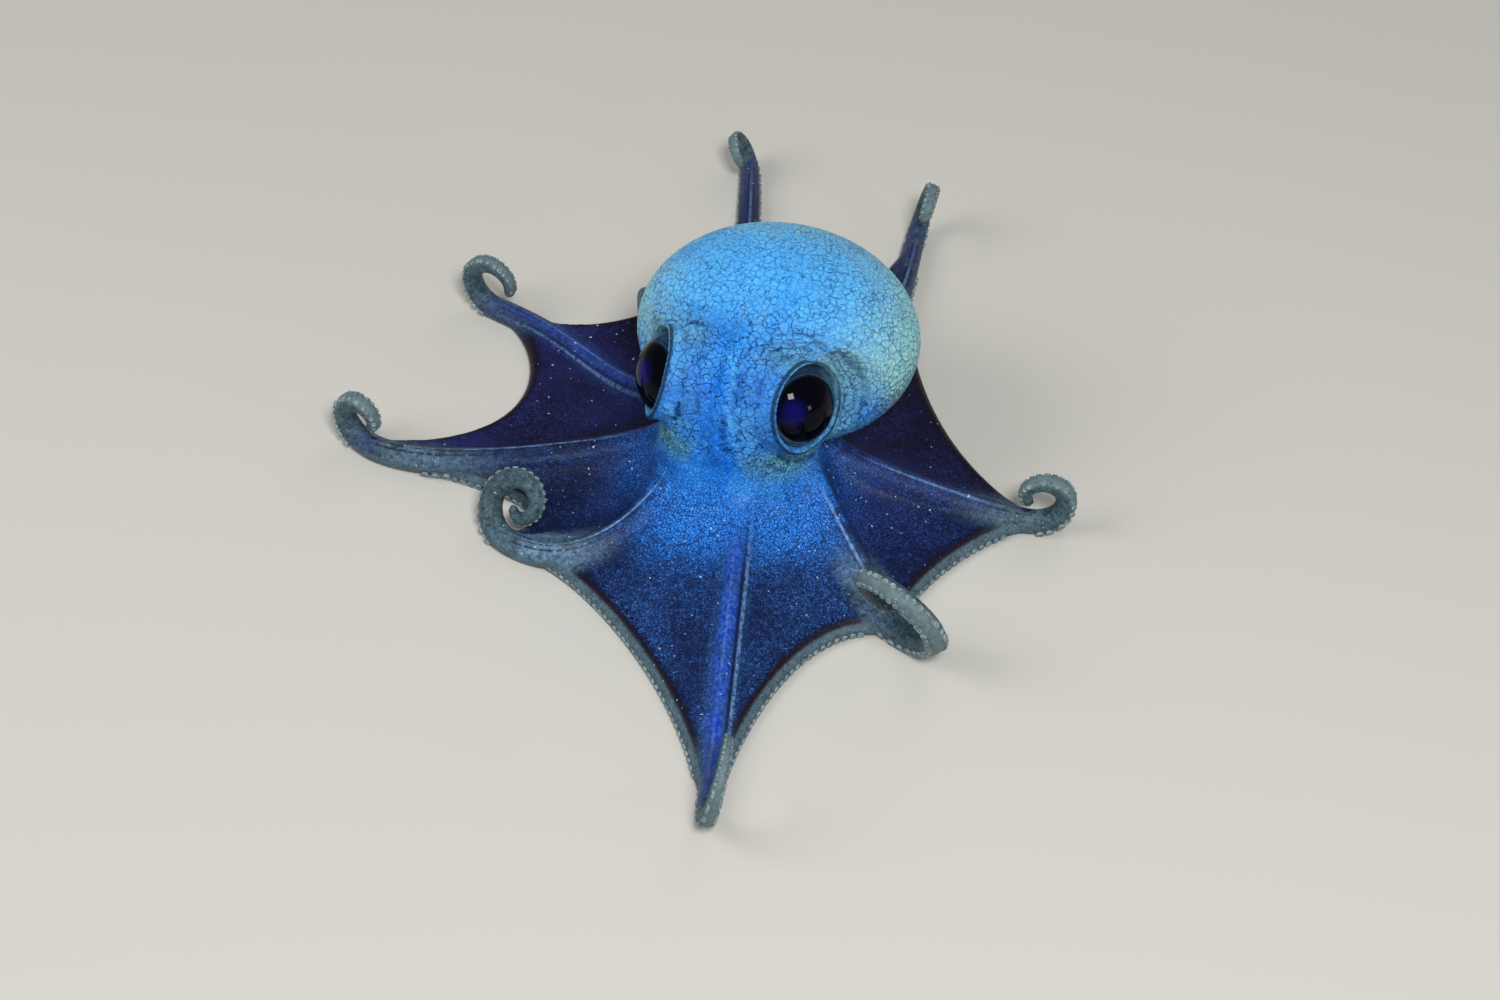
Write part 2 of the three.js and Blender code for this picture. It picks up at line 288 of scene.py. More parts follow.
webShape = {
    # thickness of the sheet and of its free edge, and its steps from arm to arm and outwards
    "thickness": 1.2,
    "rim": 1.0,
    "across": 56,
    "out": 44,
    # how far the sheet is lifted in its middle, and beside an arm as a share of the arm's radius
    "lift": 0.5,
    "drape": 0.62,
}
# how deeply each free edge is drawn in beside its first and its second arm, how near the mouth it is drawn,
# how far it leans towards the second arm, and how far the web sags
notches = [
    (0.6, 0.5, 0.5, 0, -0.6),
    (0.3, 0.3, 0.5, 0, 2.2),
    (0.6, 0.6, 0.5, 0, 1.2),
    (0.55, 0.55, 1, 0, 1.2),
    (0.55, 0.3, 1, 0, 1.2),
    (0.25, 0.5, 1, 0, 1.2),
    (0.5, 1.2, 0.35, 0.25, 1.6),
    (0.4, 0.48, 0.5, 0, -0.6),
]


def webSheet(first, second, notch):
    # rows of points from the crown to the free edge, each from the first arm to the second
    across, out = webShape["across"], webShape["out"]
    firstDepth, secondDepth, inward, lean, sag = notch
    run = armShape["runSteps"]
    sides = [evenly(arm["points"][: run + 1], out + 1) for arm in (first, second)]
    a, d = sides[0][-1], sides[1][-1]
    middle = (a + d) / 2
    pulled = middle + (up * armShape["axisHeight"] - middle) * inward + (d - a) * lean
    b, c = a + (pulled - a) * firstDepth, d + (pulled - d) * secondDepth
    t = np.linspace(0, 1, across + 1)[:, None]
    edge = bezier(a, b, c, d, t)
    inner = sides[0][0] * (1 - t) + sides[1][0] * t
    swell = np.sin(np.pi * t[:, 0])
    rows = []
    for j in range(out + 1):
        v = j / out
        row = sides[0][j] * (1 - t) + sides[1][j] * t + inner * (1 - v) + edge * v
        row = row - inner * (1 - v) - (a * (1 - t) + d * t) * v
        radius = first["radii"][2 * j] * (1 - t[:, 0]) + second["radii"][2 * j] * t[:, 0]
        row[:, 2] += webShape["lift"] + (webShape["drape"] * radius - webShape["lift"]) * (1 - swell) ** 2
        row[:, 2] -= sag * swell * math.sin(math.pi * v**0.7)
        rows.append(row)
    return np.array(rows)


def sheetPart(rows):
    out, across = rows.shape[0], rows.shape[1]
    thinning = np.linspace(0, 1, out)[:, None] ** 8
    thick = thinning * (webShape["rim"] - webShape["thickness"]) + webShape["thickness"]
    half = np.zeros_like(rows)
    half[:, :, 2] = thick / 2
    rows = rows.copy()
    rows[:, :, 2] = np.maximum(rows[:, :, 2], thick / 2 + 0.1)
    rings = [list(rows[j] - half[j]) + list((rows[j] + half[j])[::-1]) for j in range(out)]
    points = [p for ring in rings for p in ring]
    columns = 2 * across
    faces = tubeFaces(out, columns)
    for base, flip in ((0, True), ((out - 1) * columns, False)):
        for k in range(across - 1):
            quad = [base + k, base + k + 1, base + columns - 2 - k, base + columns - 1 - k]
            faces.append(tuple(quad[::-1] if flip else quad))
    return points, faces


# the free edge of each web: its radius and place, and the radius and pitch of the suckers along it
rimShape = {
    "radius": 0.95,
    "height": 1.12,
    "outward": -0.1,
    "bead": 0.58,
    "pitch": 1.3,
    "step": 0.6,
    "sides": 14,
}
# the pale margin under it: its radius, how much it bulges at each sucker, how far out and how high it lies,
# the height of the suckers, and how long it takes to fade out at each end
marginShape = {
    "radius": 0.85,
    "scallop": 0.22,
    "outward": 0.35,
    "height": 0.86,
    "beads": 0.62,
    "fade": 4,
    "step": 0.25,
}
# how far the margin shows at each web, in the order of the arms
margins = (1, 0.85, 0.15, 0, 0, 0.1, 0.9, 1)


def rimLine(rows, pitch):
    # the free edge of a web at even steps, and the way out from the mouth across it
    edge = rows[-1]
    length = np.linalg.norm(np.diff(edge, axis=0), axis=1).sum()
    line = evenly(edge, max(8, round(length / pitch)))
    tangents = directions(line, level=True)
    outward = np.stack([tangents[:, 1], -tangents[:, 0], np.zeros(len(line))], axis=1)
    outward *= np.sign((outward * (line - rows[0].mean(axis=0))).sum(axis=1).mean())
    return line, tangents, outward


def rimPart(rows):
    shape = rimShape
    line, tangents, outward = rimLine(rows, shape["step"])
    middle = line + outward * shape["outward"]
    middle[:, 2] = shape["height"]
    backs = np.tile(up, (len(line), 1))
    return tubePart(middle, tangents, backs, np.full(len(line), shape["radius"]), shape["sides"])


def marginPart(rows, share):
    # a scalloped lip just outside the edge, fading out at both ends
    shape = marginShape
    line, tangents, outward = rimLine(rows, shape["step"])
    steps = np.arange(len(line)) * shape["step"]
    ends = np.minimum(smoothstep(0, shape["fade"], steps), smoothstep(0, shape["fade"], steps[::-1]))
    middle = line + outward * (shape["outward"] * share * ends)[:, None]
    middle[:, 2] = shape["height"]
    waves = np.abs(np.sin(np.pi * steps / rimShape["pitch"]))
    radii = shape["radius"] + shape["scallop"] * waves * share
    return tubePart(middle, tangents, np.tile(up, (len(line), 1)), radii, rimShape["sides"])


sheets = [webSheet(arms[i], arms[(i + 1) % 8], notches[i]) for i in range(8)]
print("webs laid out")

mantleShape = {"middle": (1.4, 8.5, 21.2), "radii": (21.3, 18.8, 14.2), "sides": (96, 64)}
headShape = {
    "rows": 60,
    "sides": 64,
    # height, middle along Y, half width, half depth
    "rings": [
        (3.4, -2, 6, 6),
        (4.6, -2, 10.5, 10),
        (8, -4, 12, 11),
        (12, -5, 11.8, 10.3),
        (16, -5.6, 11.4, 9.8),
        (20, -5.8, 11, 9.4),
        (24, -5.4, 10.2, 9),
        (28, -4.2, 8.6, 8),
        (31, -2.5, 5.5, 6),
        (32.2, -1.5, 2, 2.5),
    ],
}
eyeShape = {
    "x": 8,
    "y": -6.4,
    "z": 22.6,
    "radius": 7,
    # radius of the swelling round the ball, and how far its middle lies behind the ball's
    "lids": (8.25, 1.6),
    "looks": unit(np.array([0.89, -0.35, 0.29])),
    # degrees from the middle of the ball's front to its rim, and its rows and sides
    "cap": 100,
    "rows": 33,
    "sides": 64,
}
funnelShape = {
    "from": (-12, 7, 12),
    "through": (-19, 8, 13),
    "to": (-22.3, 15, 16),
    "thick": 2.8,
    "mouth": 1.5,
    "steps": 24,
    "sides": 20,
}


def eyePlace(side):
    mirror = np.array([side, 1, 1])
    return np.array([eyeShape["x"], eyeShape["y"], eyeShape["z"]]) * mirror, eyeShape["looks"] * mirror


def forwardOf(looks):
    # the way to the front, square to the way the eye looks
    return unit(np.array([0, -1, 0]) - looks * (-looks[1]))


def levelRing(z, y, wide, deep, angles):
    ring = [wide * np.cos(angles), y + deep * np.sin(angles), np.full(len(angles), z)]
    return list(np.stack(ring, axis=1))


def headPart():
    table = np.array(headShape["rings"], float)
    rings = []
    for z in np.linspace(table[0, 0], table[-1, 0], headShape["rows"]):
        y, wide, deep = (np.interp(z, table[:, 0], table[:, k]) for k in (1, 2, 3))
        rings.append(levelRing(z, y, wide, deep, around(headShape["sides"])))
    return loft(rings)


# the neck, a hollow curve from the head to the arms and webs
skirtShape = {
    "sides": 72,
    # height, middle along Y, half width, depth to the front and to the back
    "rings": [
        (14.5, -5.4, 11.2, 9.8, 9),
        (12, -5, 11.8, 11, 9),
        (10, -4.7, 12.4, 12.4, 9),
        (8.4, -4.5, 13.1, 14.2, 9),
        (7, -4.5, 14, 16.4, 9),
        (5.4, -4.5, 15.2, 19.2, 9),
        (3.4, -4.5, 17, 22.5, 9),
        (2, -4.5, 17, 22.5, 9),
    ],
}


def skirtPart():
    angles = around(skirtShape["sides"])
    rings = []
    for z, y, wide, front, rear in reversed(skirtShape["rings"]):
        rings.append(levelRing(z, y, wide, np.where(np.sin(angles) < 0, front, rear), angles))
    return loft(rings)


def funnelLine():
    a, b, c = (np.array(funnelShape[k], float) for k in ("from", "through", "to"))
    t = np.linspace(0, 1, funnelShape["steps"])[:, None]
    return (1 - t) ** 2 * a + 2 * (1 - t) * t * b + t**2 * c


def funnelPart():
    points = funnelLine()
    tangents = directions(points)
    backs = np.array([unit(up - tangent * (up @ tangent)) for tangent in tangents])
    radii = np.linspace(funnelShape["thick"], funnelShape["mouth"], funnelShape["steps"])
    return tubePart(points, tangents, backs, radii, funnelShape["sides"])


def lidParts():
    radius, back = eyeShape["lids"]
    places = [eyePlace(side) for side in (1, -1)]
    return [ballPart(middle - looks * back, (radius, radius, radius)) for middle, looks in places]


# All the forms are joined to one skin.
skinShape = {
    "voxel": 0.36,
    # rounds of smoothing all over and in the hollow curve that runs from the head to the arms and webs
    "smooth": 5,
    "crownSmooth": 60,
    "crown": (0, -3.5),
    # where that curve fades out and is whole: distance from the crown's middle, top and foot
    "curveOut": (30, 18),
    "curveTop": (16, 11),
    "curveFoot": (0.5, 1.5),
    # the mesh is finer in the mantle, and above this height within this distance
    "finerMantle": 1.1,
    "finerAbove": 8.5,
    "finerWithin": 19,
}


def buildSkin():
    mantle = ballPart(mantleShape["middle"], mantleShape["radii"], *mantleShape["sides"])
    parts = [mantle, headPart(), skirtPart(), funnelPart()]
    parts += lidParts()
    parts += [tubePart(a["points"], a["tangents"], a["backs"], a["radii"], armShape["sides"]) for a in arms]
    parts += [crestPart(a) for a in arms]
    parts += [sheetPart(rows) for rows in sheets]
    parts += [rimPart(rows) for rows in sheets]
    parts += [marginPart(rows, share) for rows, share in zip(sheets, margins)]
    piece = makeMesh("skin", *joined(parts))
    remesh = piece.modifiers.new("remesh", "REMESH")
    remesh.mode = "VOXEL"
    remesh.voxel_size = skinShape["voxel"]
    remesh.use_smooth_shade = True
    depsgraph = bpy.context.evaluated_depsgraph_get()
    mesh = bpy.data.meshes.new_from_object(piece.evaluated_get(depsgraph))
    piece.modifiers.clear()
    piece.data = mesh
    return piece


def refine(mesh, wanted):
    # halves the edges between wanted points
    shape = bmesh.new()
    shape.from_mesh(mesh)
    shape.verts.ensure_lookup_table()
    edges = [edge for edge in shape.edges if wanted[edge.verts[0].index] and wanted[edge.verts[1].index]]
    bmesh.ops.subdivide_edges(shape, edges=edges, cuts=1, use_grid_fill=True)
    shape.to_mesh(mesh)
    shape.free()
    mesh.update()


def edgePairs(mesh):
    pairs = np.empty(len(mesh.edges) * 2, np.int32)
    mesh.edges.foreach_get("vertices", pairs)
    return pairs.reshape(-1, 2)


def relaxed(points, pairs, amount, times):
    # moves each point part of the way to the middle of its neighbours
    count = np.bincount(pairs.ravel(), minlength=len(points))[:, None]
    for _ in range(times):
        total = np.zeros_like(points)
        for k in range(points.shape[1]):
            total[:, k] += np.bincount(pairs[:, 0], points[pairs[:, 1], k], len(points))
            total[:, k] += np.bincount(pairs[:, 1], points[pairs[:, 0], k], len(points))
        points = points + (total / np.maximum(count, 1) - points) * amount
    return points


def readVertices(mesh, field):
    values = np.empty(len(mesh.vertices) * 3)
    mesh.vertices.foreach_get(field, values)
    return values.reshape(-1, 3)


def writePoints(mesh, points):
    mesh.vertices.foreach_set("co", np.asarray(points, np.float32).ravel())
    mesh.update()


def writeMeasure(mesh, name, values):
    # one number for each point, which a material can read
    layer = mesh.attributes.new(name, "FLOAT", "POINT")
    layer.data.foreach_set("value", np.asarray(values, np.float32))


def treeOf(targets):
    tree = kdtree.KDTree(len(targets))
    for i, target in enumerate(targets):
        tree.insert(target, i)
    tree.balance()
    return tree


def nearest(points, targets):
    # index of the nearest target and its distance
    tree = treeOf(targets)
    found = [tree.find(point) for point in points]
    return np.array([f[1] for f in found]), np.array([f[2] for f in found])


def smoothed(points, pairs, times):
    # evens out the steps of the remesh without shrinking thin parts
    for _ in range(times):
        points = relaxed(points, pairs, 0.5, 1)
        points = relaxed(points, pairs, -0.52, 1)
    return points


def crownDistance(points):
    return np.linalg.norm(points[:, :2] - np.array(skinShape["crown"]), axis=1)


def mantleShare(points):
    # distance from the mantle's middle, as a share of its own radius that way
    middle, radii = np.array(mantleShape["middle"]), np.array(mantleShape["radii"])
    return np.linalg.norm((points - middle) / radii, axis=1)


skin = buildSkin()
print("skin joined:", len(skin.data.vertices), "points")
pairs = edgePairs(skin.data)
points = smoothed(readVertices(skin.data, "co"), pairs, skinShape["smooth"])
fromMouth = crownDistance(points)
flare = smoothstep(*skinShape["curveOut"], fromMouth) * smoothstep(*skinShape["curveTop"], points[:, 2])
flare = flare * smoothstep(*skinShape["curveFoot"], points[:, 2])
points = relaxed(points, pairs, 0.5 * flare[:, None], skinShape["crownSmooth"])
writePoints(skin.data, points)
finer = (points[:, 2] > skinShape["finerAbove"]) & (fromMouth < skinShape["finerWithin"])
refine(skin.data, (mantleShare(points) < skinShape["finerMantle"]) | finer)
pairs = edgePairs(skin.data)
points = relaxed(readVertices(skin.data, "co"), pairs, 0.5, 2)
points[:, 2] = np.maximum(points[:, 2], 0)
writePoints(skin.data, points)
fromMouth = crownDistance(points)
fromFunnel = nearest(points, funnelLine())[1]
print("skin refined:", len(points), "points")


def cellSeeds(points, size, spacing, rounds):
    # seeds strewn over the surface, about one for each cell's area, and then spread more evenly
    count = int(len(points) * (spacing / size) ** 2)
    seeds = points[np.random.default_rng(5).choice(len(points), count, replace=False)]
    for _ in range(rounds):
        keys = np.unique(nearest(points, seeds)[0], return_inverse=True)[1]
        seeds = meansOf(points, keys)
    return seeds


def meansOf(points, keys):
    count = np.bincount(keys)[:, None]
    return np.stack([np.bincount(keys, points[:, k]) for k in range(3)], axis=1) / count


def cellEdges(points, seeds):
    # how far each point lies from the line between its two nearest seeds, and the number of its own seed
    tree = treeOf(seeds)
    found = [tree.find_n(point, 2) for point in points]
    nearby = np.array([(f[0][2], f[1][2], f[0][1], f[1][1]) for f in found])
    first, second = nearby[:, 2].astype(int), nearby[:, 3].astype(int)
    apart = np.linalg.norm(seeds[first] - seeds[second], axis=1)
    return (nearby[:, 1] ** 2 - nearby[:, 0] ** 2) / (2 * apart), first


# Each point of the skin is measured against the arms, the webs and their edges.
regionShape = {
    # where the mantle fades out and is whole, as shares of its radius
    "mantle": (1.12, 1.04),
    # the seam between mantle and head: the slope in degrees of the way across it, where along that way the
    # mantle begins and is whole, and how much further forward it runs at the sides
    "slope": 19,
    "neckLine": (5.0, 13.0),
    "neckBend": 0.12,
    # where the head begins and is whole: height, and distance from the crown's middle
    "headHeight": (6, 11),
    "headWithin": (19, 15),
    # distance from the crown's middle at which the webs' bright neck ends and is whole
    "neck": (31, 14),
    # an arm: distance from its axis, and how far below its axis the pale underside begins, both in radii
    "arm": (2.2, 1.1),
    "oral": (0.2, 0.7),
    # the ridge above an arm: height over its axis, and distance from it
    "ridgeHeight": (-0.3, 0.8),
    "ridgeWithin": (6, 4),
    # distance from the funnel's line, and from the axis of an eye
    "funnel": (4.2, 3.2),
    "eyeRing": (8.2, 6.9),
    # what faces down, by the height of its normal
    "under": (-0.1, -0.6),
    # the strip outside a web's edge: distance beyond it, distance from it, height, and share of the margin
    "stripBeyond": (0.15, 0.6),
    "stripWithin": (3.2, 2.4),
    "stripBelow": (2.3, 1.9),
    "stripShare": (0.2, 0.8),
}
# lengths in millimetres that a measure of 1 stands for in the materials
measureUnits = {"across": 10, "edge": 10, "lid": 20, "high": 40}


def within(region, value):
    return smoothstep(*regionShape[region], value)


axisPoints = np.concatenate([a["points"] for a in arms])
axisAlong = np.concatenate([a["along"] for a in arms])
axisBack = np.concatenate([a["backs"] for a in arms])
axisSide = np.concatenate([a["sides"] for a in arms])
axisRadius = np.concatenate([a["radii"] for a in arms])
sheetPoints = np.concatenate([rows.reshape(-1, 3) for rows in sheets])
sheetOut = np.tile(np.repeat(np.linspace(0, 1, webShape["out"] + 1), webShape["across"] + 1), 8)
edgeStep = 0.4
rims = [rimLine(rows, edgeStep) for rows in sheets]
edgePoints = np.concatenate([line for line, _, _ in rims])
edgeOutward = np.concatenate([outward for _, _, outward in rims])

normals = readVertices(skin.data, "normal")
axisIndex, axisDistance = nearest(points, axisPoints)
sheetIndex = nearest(points, sheetPoints)[0]
edgeIndex, edgeDistance = nearest(points, edgePoints)
offset = points - axisPoints[axisIndex]
across = (offset * axisSide[axisIndex]).sum(axis=1)
backways = (offset * axisBack[axisIndex]).sum(axis=1)
along = axisAlong[axisIndex]
armNear = within("arm", axisDistance / axisRadius[axisIndex])
print("skin measured")

slope = math.radians(regionShape["slope"])
neckLine = points[:, 1] * math.cos(slope) + points[:, 2] * math.sin(slope)
mantleLevel = mantleShare(points)
aboveNeck = within("neckLine", neckLine + regionShape["neckBend"] * np.abs(points[:, 0]))
mantleMask = within("mantle", mantleLevel) * aboveNeck
bodyMask = within("headHeight", points[:, 2]) * within("headWithin", fromMouth)
headMask = np.maximum(bodyMask, within("mantle", mantleLevel))

# the lids: distance of their edge from the eye's axis, how deep the skin goes inside it, height and width of
# the lip, and the slope outside it with where that ends
lidShape = {"edge": 6.05, "deep": 0.8, "lip": 0.45, "lipWidth": 0.42, "rise": 0.5, "reach": (8.2, 10.6)}
# furrows round each eye: distance from its axis, width, depth, and whether it runs only above and behind
furrows = [
    (7.5, 0.3, 0.24, 0),
    (8.4, 0.3, 0.16, 1),
    (9.3, 0.36, 0.2, 1),
    (10.5, 0.4, 0.16, 1),
]
normalStep = np.zeros(len(points))
lidDistance = np.full(len(points), float(measureUnits["lid"]))
behindEyes = np.zeros(len(points))
furrowLine = np.zeros(len(points))
carve = np.zeros((len(points), 3))
for side in (1, -1):
    middle, looks = eyePlace(side)
    relative = points - middle
    height = relative @ looks
    radial = relative - height[:, None] * looks
    distance = np.linalg.norm(radial, axis=1)
    inFront = smoothstep(-4, -1, height) * (distance < 14)
    # the skin falls to the lid in one slope
    rim = math.sqrt(eyeShape["radius"] ** 2 - lidShape["edge"] ** 2)
    limit = rim + 0.4 + lidShape["rise"] * (distance - lidShape["edge"])
    reach = smoothstep(lidShape["reach"][1], lidShape["reach"][0], distance)
    reach = reach * (distance > lidShape["edge"] - 0.3)
    carve -= looks * (np.maximum(height - limit, 0) * reach * inFront)[:, None]
    # the lid is a raised lip round the ball
    turn = radial @ forwardOf(looks) / np.maximum(distance, 0.1)
    lip = lidShape["lip"] * (1 + 0.9 * smoothstep(0.2, 0.8, turn))
    normalStep += inFront * lip * bump(distance - lidShape["edge"] - 0.45, lidShape["lipWidth"])
    high = radial @ unit(up - looks * looks[2]) / np.maximum(distance, 0.1)
    behind = smoothstep(0.1, -0.5, turn - 0.35 * high)
    for place, wide, deep, behindOnly in furrows:
        waver = 0.18 * np.sin(np.arctan2(turn, high) * 7 + place)
        share = behind if behindOnly else 0.6 + 0.4 * behind
        line = inFront * bump(distance - place - waver, wide) * share
        normalStep -= deep * line
        furrowLine = np.maximum(furrowLine, line)
    behindEyes = np.maximum(behindEyes, behind * inFront)
    lidDistance = np.where(inFront > 0.3, np.minimum(lidDistance, distance), lidDistance)
    # the skin goes behind the ball inside the lid's edge
    ball = np.sqrt(np.maximum(eyeShape["radius"] ** 2 - distance**2, 0))
    inside = (height > 0) * smoothstep(lidShape["edge"] + 0.15, lidShape["edge"] - 0.25, distance)
    carve += looks * ((ball - lidShape["deep"] - height) * inside)[:, None]
eyeRing = within("eyeRing", lidDistance)
points = points + carve
# single creases, folds and warts: the line each follows, its width, its depth, and how dark it is in painted
# shade;
# below 0 it is raised, with a painted highlight
marks = [
    ([(5.4, -3.1, 31.9), (7, -2, 32.2), (8.8, -1.8, 31.8), (11, -1.8, 31.1), (12.7, -1.7, 30.2),
      (14.2, -0.6, 28.7), (15, -0.1, 26.1)], 0.3, 0.22, 0.6),
    ([(5.8, -5.1, 30.4), (7.2, -3.9, 31.1), (8.8, -3.4, 30.9), (10.2, -3.4, 30.3)], 0.28, 0.2, 0.6),
    ([(10.8, -1.9, 31.1), (12.1, -2.4, 30.1), (13.4, -1.1, 29.2)], 0.28, 0.2, 0.5),
    ([(4.8, -4, 31.2), (4.2, -5.9, 30.7), (3.5, -8.2, 29.9), (2.4, -10.3, 29)], 0.34, 0.28, 0.55),
    ([(1.3, -14.6, 24.1), (1.3, -15.2, 21.6), (1.5, -15.5, 18.9), (2.1, -15.1, 18.4)], 0.5, 0.45, 0.8),
    ([(2.2, -14.2, 23.9), (2.6, -14.3, 21.2), (3, -14.5, 18.9)], 0.7, -0.35, -0.35),
    ([(1.1, -9.4, 30.9), (1.5, -10.8, 29.4), (1.8, -12.2, 28), (1.8, -13.8, 25.1)], 0.7, -0.2, -0.3),
    ([(-9.6, -5.9, 30.3), (-9.7, -4.6, 30), (-8.7, -3.3, 29.8), (-7.5, -3.2, 30.5), (-5.9, -3.6, 30.7)],
     0.4, 0.4, 0.7),
    ([(-8.7, -6.3, 30.3), (-8.2, -4.7, 29.9), (-6.8, -4.2, 30.2), (-5.6, -4.7, 30.4)], 0.8, -0.5, -0.3),
    ([(8.8, -11.8, 16.2), (10.1, -10.2, 14.2), (11.4, -7.3, 12.5), (12.1, -4.7, 11.6)], 0.45, 0.4, 0.65),
    ([(7.5, -12.9, 14.9), (8.5, -12.1, 13.7), (9.5, -11.1, 13.2)], 0.4, 0.3, 0.5),
    ([(8.7, -14, 23.8), (8.2, -14.2, 22.7)], 0.5, 0.35, 0.7),
    ([(5.3, -10.4, 28.8), (5.4, -11, 28.4), (5.4, -11.7, 27.6)], 0.7, 0.35, 0.5),
    ([(-3.2, -13.2, 25.1), (-3.3, -13.6, 24.4), (-3.2, -14.1, 23.3)], 0.6, 0.35, 0.55),
    ([(-6.8, -13.8, 23.2), (-7, -13.9, 22.3)], 0.9, -0.75, -0.35),
    ([(-5.9, -13.8, 23.8), (-5.9, -13.9, 21.6), (-6.8, -13.7, 20.4)], 0.4, 0.4, 0.9),
]
# painted shade along each crease and a painted highlight along each raised fold
mark = np.zeros(len(points))
for line, wide, deep, dark in marks:
    line = evenly(np.array(line, float), 40)
    close = np.flatnonzero(np.linalg.norm(points - line.mean(axis=0), axis=1) < 9)
    distance = nearest(points[close], line)[1]
    wobble = 0.25 * np.sin(points[close].sum(axis=1) * 2.3) + 0.2 * np.sin(points[close, 2] * 5.1)
    shape = bump(np.maximum(distance + wobble * wide, 0), wide)
    normalStep[close] -= deep * shape
    mark[close] = np.where(np.abs(dark * shape) > np.abs(mark[close]), dark * shape, mark[close])
# a soft ridge down the forehead, with a furrow on each side
foreheadShape = {"rise": 0.55, "wide": 1.1, "furrow": 0.4, "furrowAt": 2.4, "furrowWide": 0.9}
ridgeX = 1.0 + 0.03 * (points[:, 1] + 6)
fromRidge = points[:, 0] - ridgeX
forehead = headMask * smoothstep(4, -2, points[:, 1]) * smoothstep(14, 18, points[:, 2])
normalStep += forehead * foreheadShape["rise"] * bump(fromRidge, foreheadShape["wide"])
furrow = bump(np.abs(fromRidge) - foreheadShape["furrowAt"], foreheadShape["furrowWide"])
normalStep -= forehead * foreheadShape["furrow"] * furrow
points = points + normals * normalStep[:, None]
writePoints(skin.data, points)
print("head folded")

# the net of fine wrinkles: how big its cells are in each region, and how wide and deep its lines are
netShape = {
    "mantle": 1.15,
    "head": 0.95,
    "neck": 0.7,
    "neckBelow": 14,
    "line": 0.15,
    "deep": 0.13,
    # about how far apart the skin's points are, and rounds of evening out the cells
    "spacing": 0.19,
    "rounds": 1,
}
net = np.zeros(len(points))
cellTone = np.full(len(points), 0.5)
chance = np.random.default_rng(7)
seeds = []
regions = {
    "mantle": mantleMask > 0.5,
    "head": (mantleMask <= 0.5) & (headMask > 0.02) & (points[:, 2] > netShape["neckBelow"]),
    "neck": (mantleMask <= 0.5) & (headMask > 0.02) & (points[:, 2] <= netShape["neckBelow"]),
}
for name, chosen in regions.items():
    seeds.append(cellSeeds(points[chosen], netShape[name], netShape["spacing"], netShape["rounds"]))
seeds = np.concatenate(seeds)
wrinkled = np.flatnonzero(np.any(list(regions.values()), axis=0))
edge, cell = cellEdges(points[wrinkled], seeds)
fading = np.maximum(mantleMask, headMask)[wrinkled] * (1 - 0.7 * eyeRing[wrinkled])
net[wrinkled] = bump(edge, netShape["line"]) * fading
net = np.maximum(net, 0.8 * furrowLine * headMask)
cellTone[wrinkled] = chance.random(len(seeds))[cell]
points = points - readVertices(skin.data, "normal") * (net * netShape["deep"] * (1 - furrowLine))[:, None]
writePoints(skin.data, points)
print("wrinkles drawn:", len(seeds), "cells on", len(wrinkled), "points")

armIndex = np.concatenate([np.full(len(a["points"]), i) for i, a in enumerate(arms)])[axisIndex]
beyond = ((points - edgePoints[edgeIndex]) * edgeOutward[edgeIndex]).sum(axis=1)
edgeShare = np.concatenate([np.full(len(rim[0]), share) for rim, share in zip(rims, margins)])
strip = within("stripBeyond", beyond) * within("stripWithin", edgeDistance)
strip = strip * within("stripBelow", points[:, 2]) * within("stripShare", edgeShare[edgeIndex])
# painted shade on the webs at the back, together with their violet colour
front = np.repeat(webHueAndShade, (webShape["out"] + 1) * (webShape["across"] + 1))[sheetIndex]
front = relaxed(front[:, None], edgePairs(skin.data), 0.5, 3)[:, 0]
stripeStrength = np.array([stripes[a["name"]] for a in arms])[armIndex]
measures = {
    "mantle": mantleMask,
    "head": headMask,
    "net": net,
    "cellTone": cellTone,
    "along": along / 2,
    "armNear": armNear,
    "stripe": stripeStrength,
    "across": np.clip(across / measureUnits["across"], -1, 1),
    "ridge": within("ridgeHeight", backways) * within("ridgeWithin", axisDistance),
    "edge": np.clip(edgeDistance / measureUnits["edge"], 0, 1),
    "out": sheetOut[sheetIndex],
    "front": front,
    "behind": behindEyes,
    "mark": mark,
    "funnel": within("funnel", fromFunnel) * (1 - headMask),
    "strip": strip,
    "under": within("under", normals[:, 2]),
    "oral": within("oral", -backways / axisRadius[axisIndex]) * armNear,
    "lid": np.clip(lidDistance / measureUnits["lid"], 0, 1),
    "high": points[:, 2] / measureUnits["high"],
    "neck": within("neck", fromMouth),
}
for name, values in measures.items():
    writeMeasure(skin.data, name, values)
placed = (points + mouth) * mm
writePoints(skin.data, placed)
skin.data.shade_smooth()


def shade(red, green, blue):
    # a screen colour in 0 to 255 as the linear one that Blender works in
    def linear(value):
        value = value / 255
        return value / 12.92 if value <= 0.04045 else ((value + 0.055) / 1.055) ** 2.4

    return (linear(red), linear(green), linear(blue), 1.0)


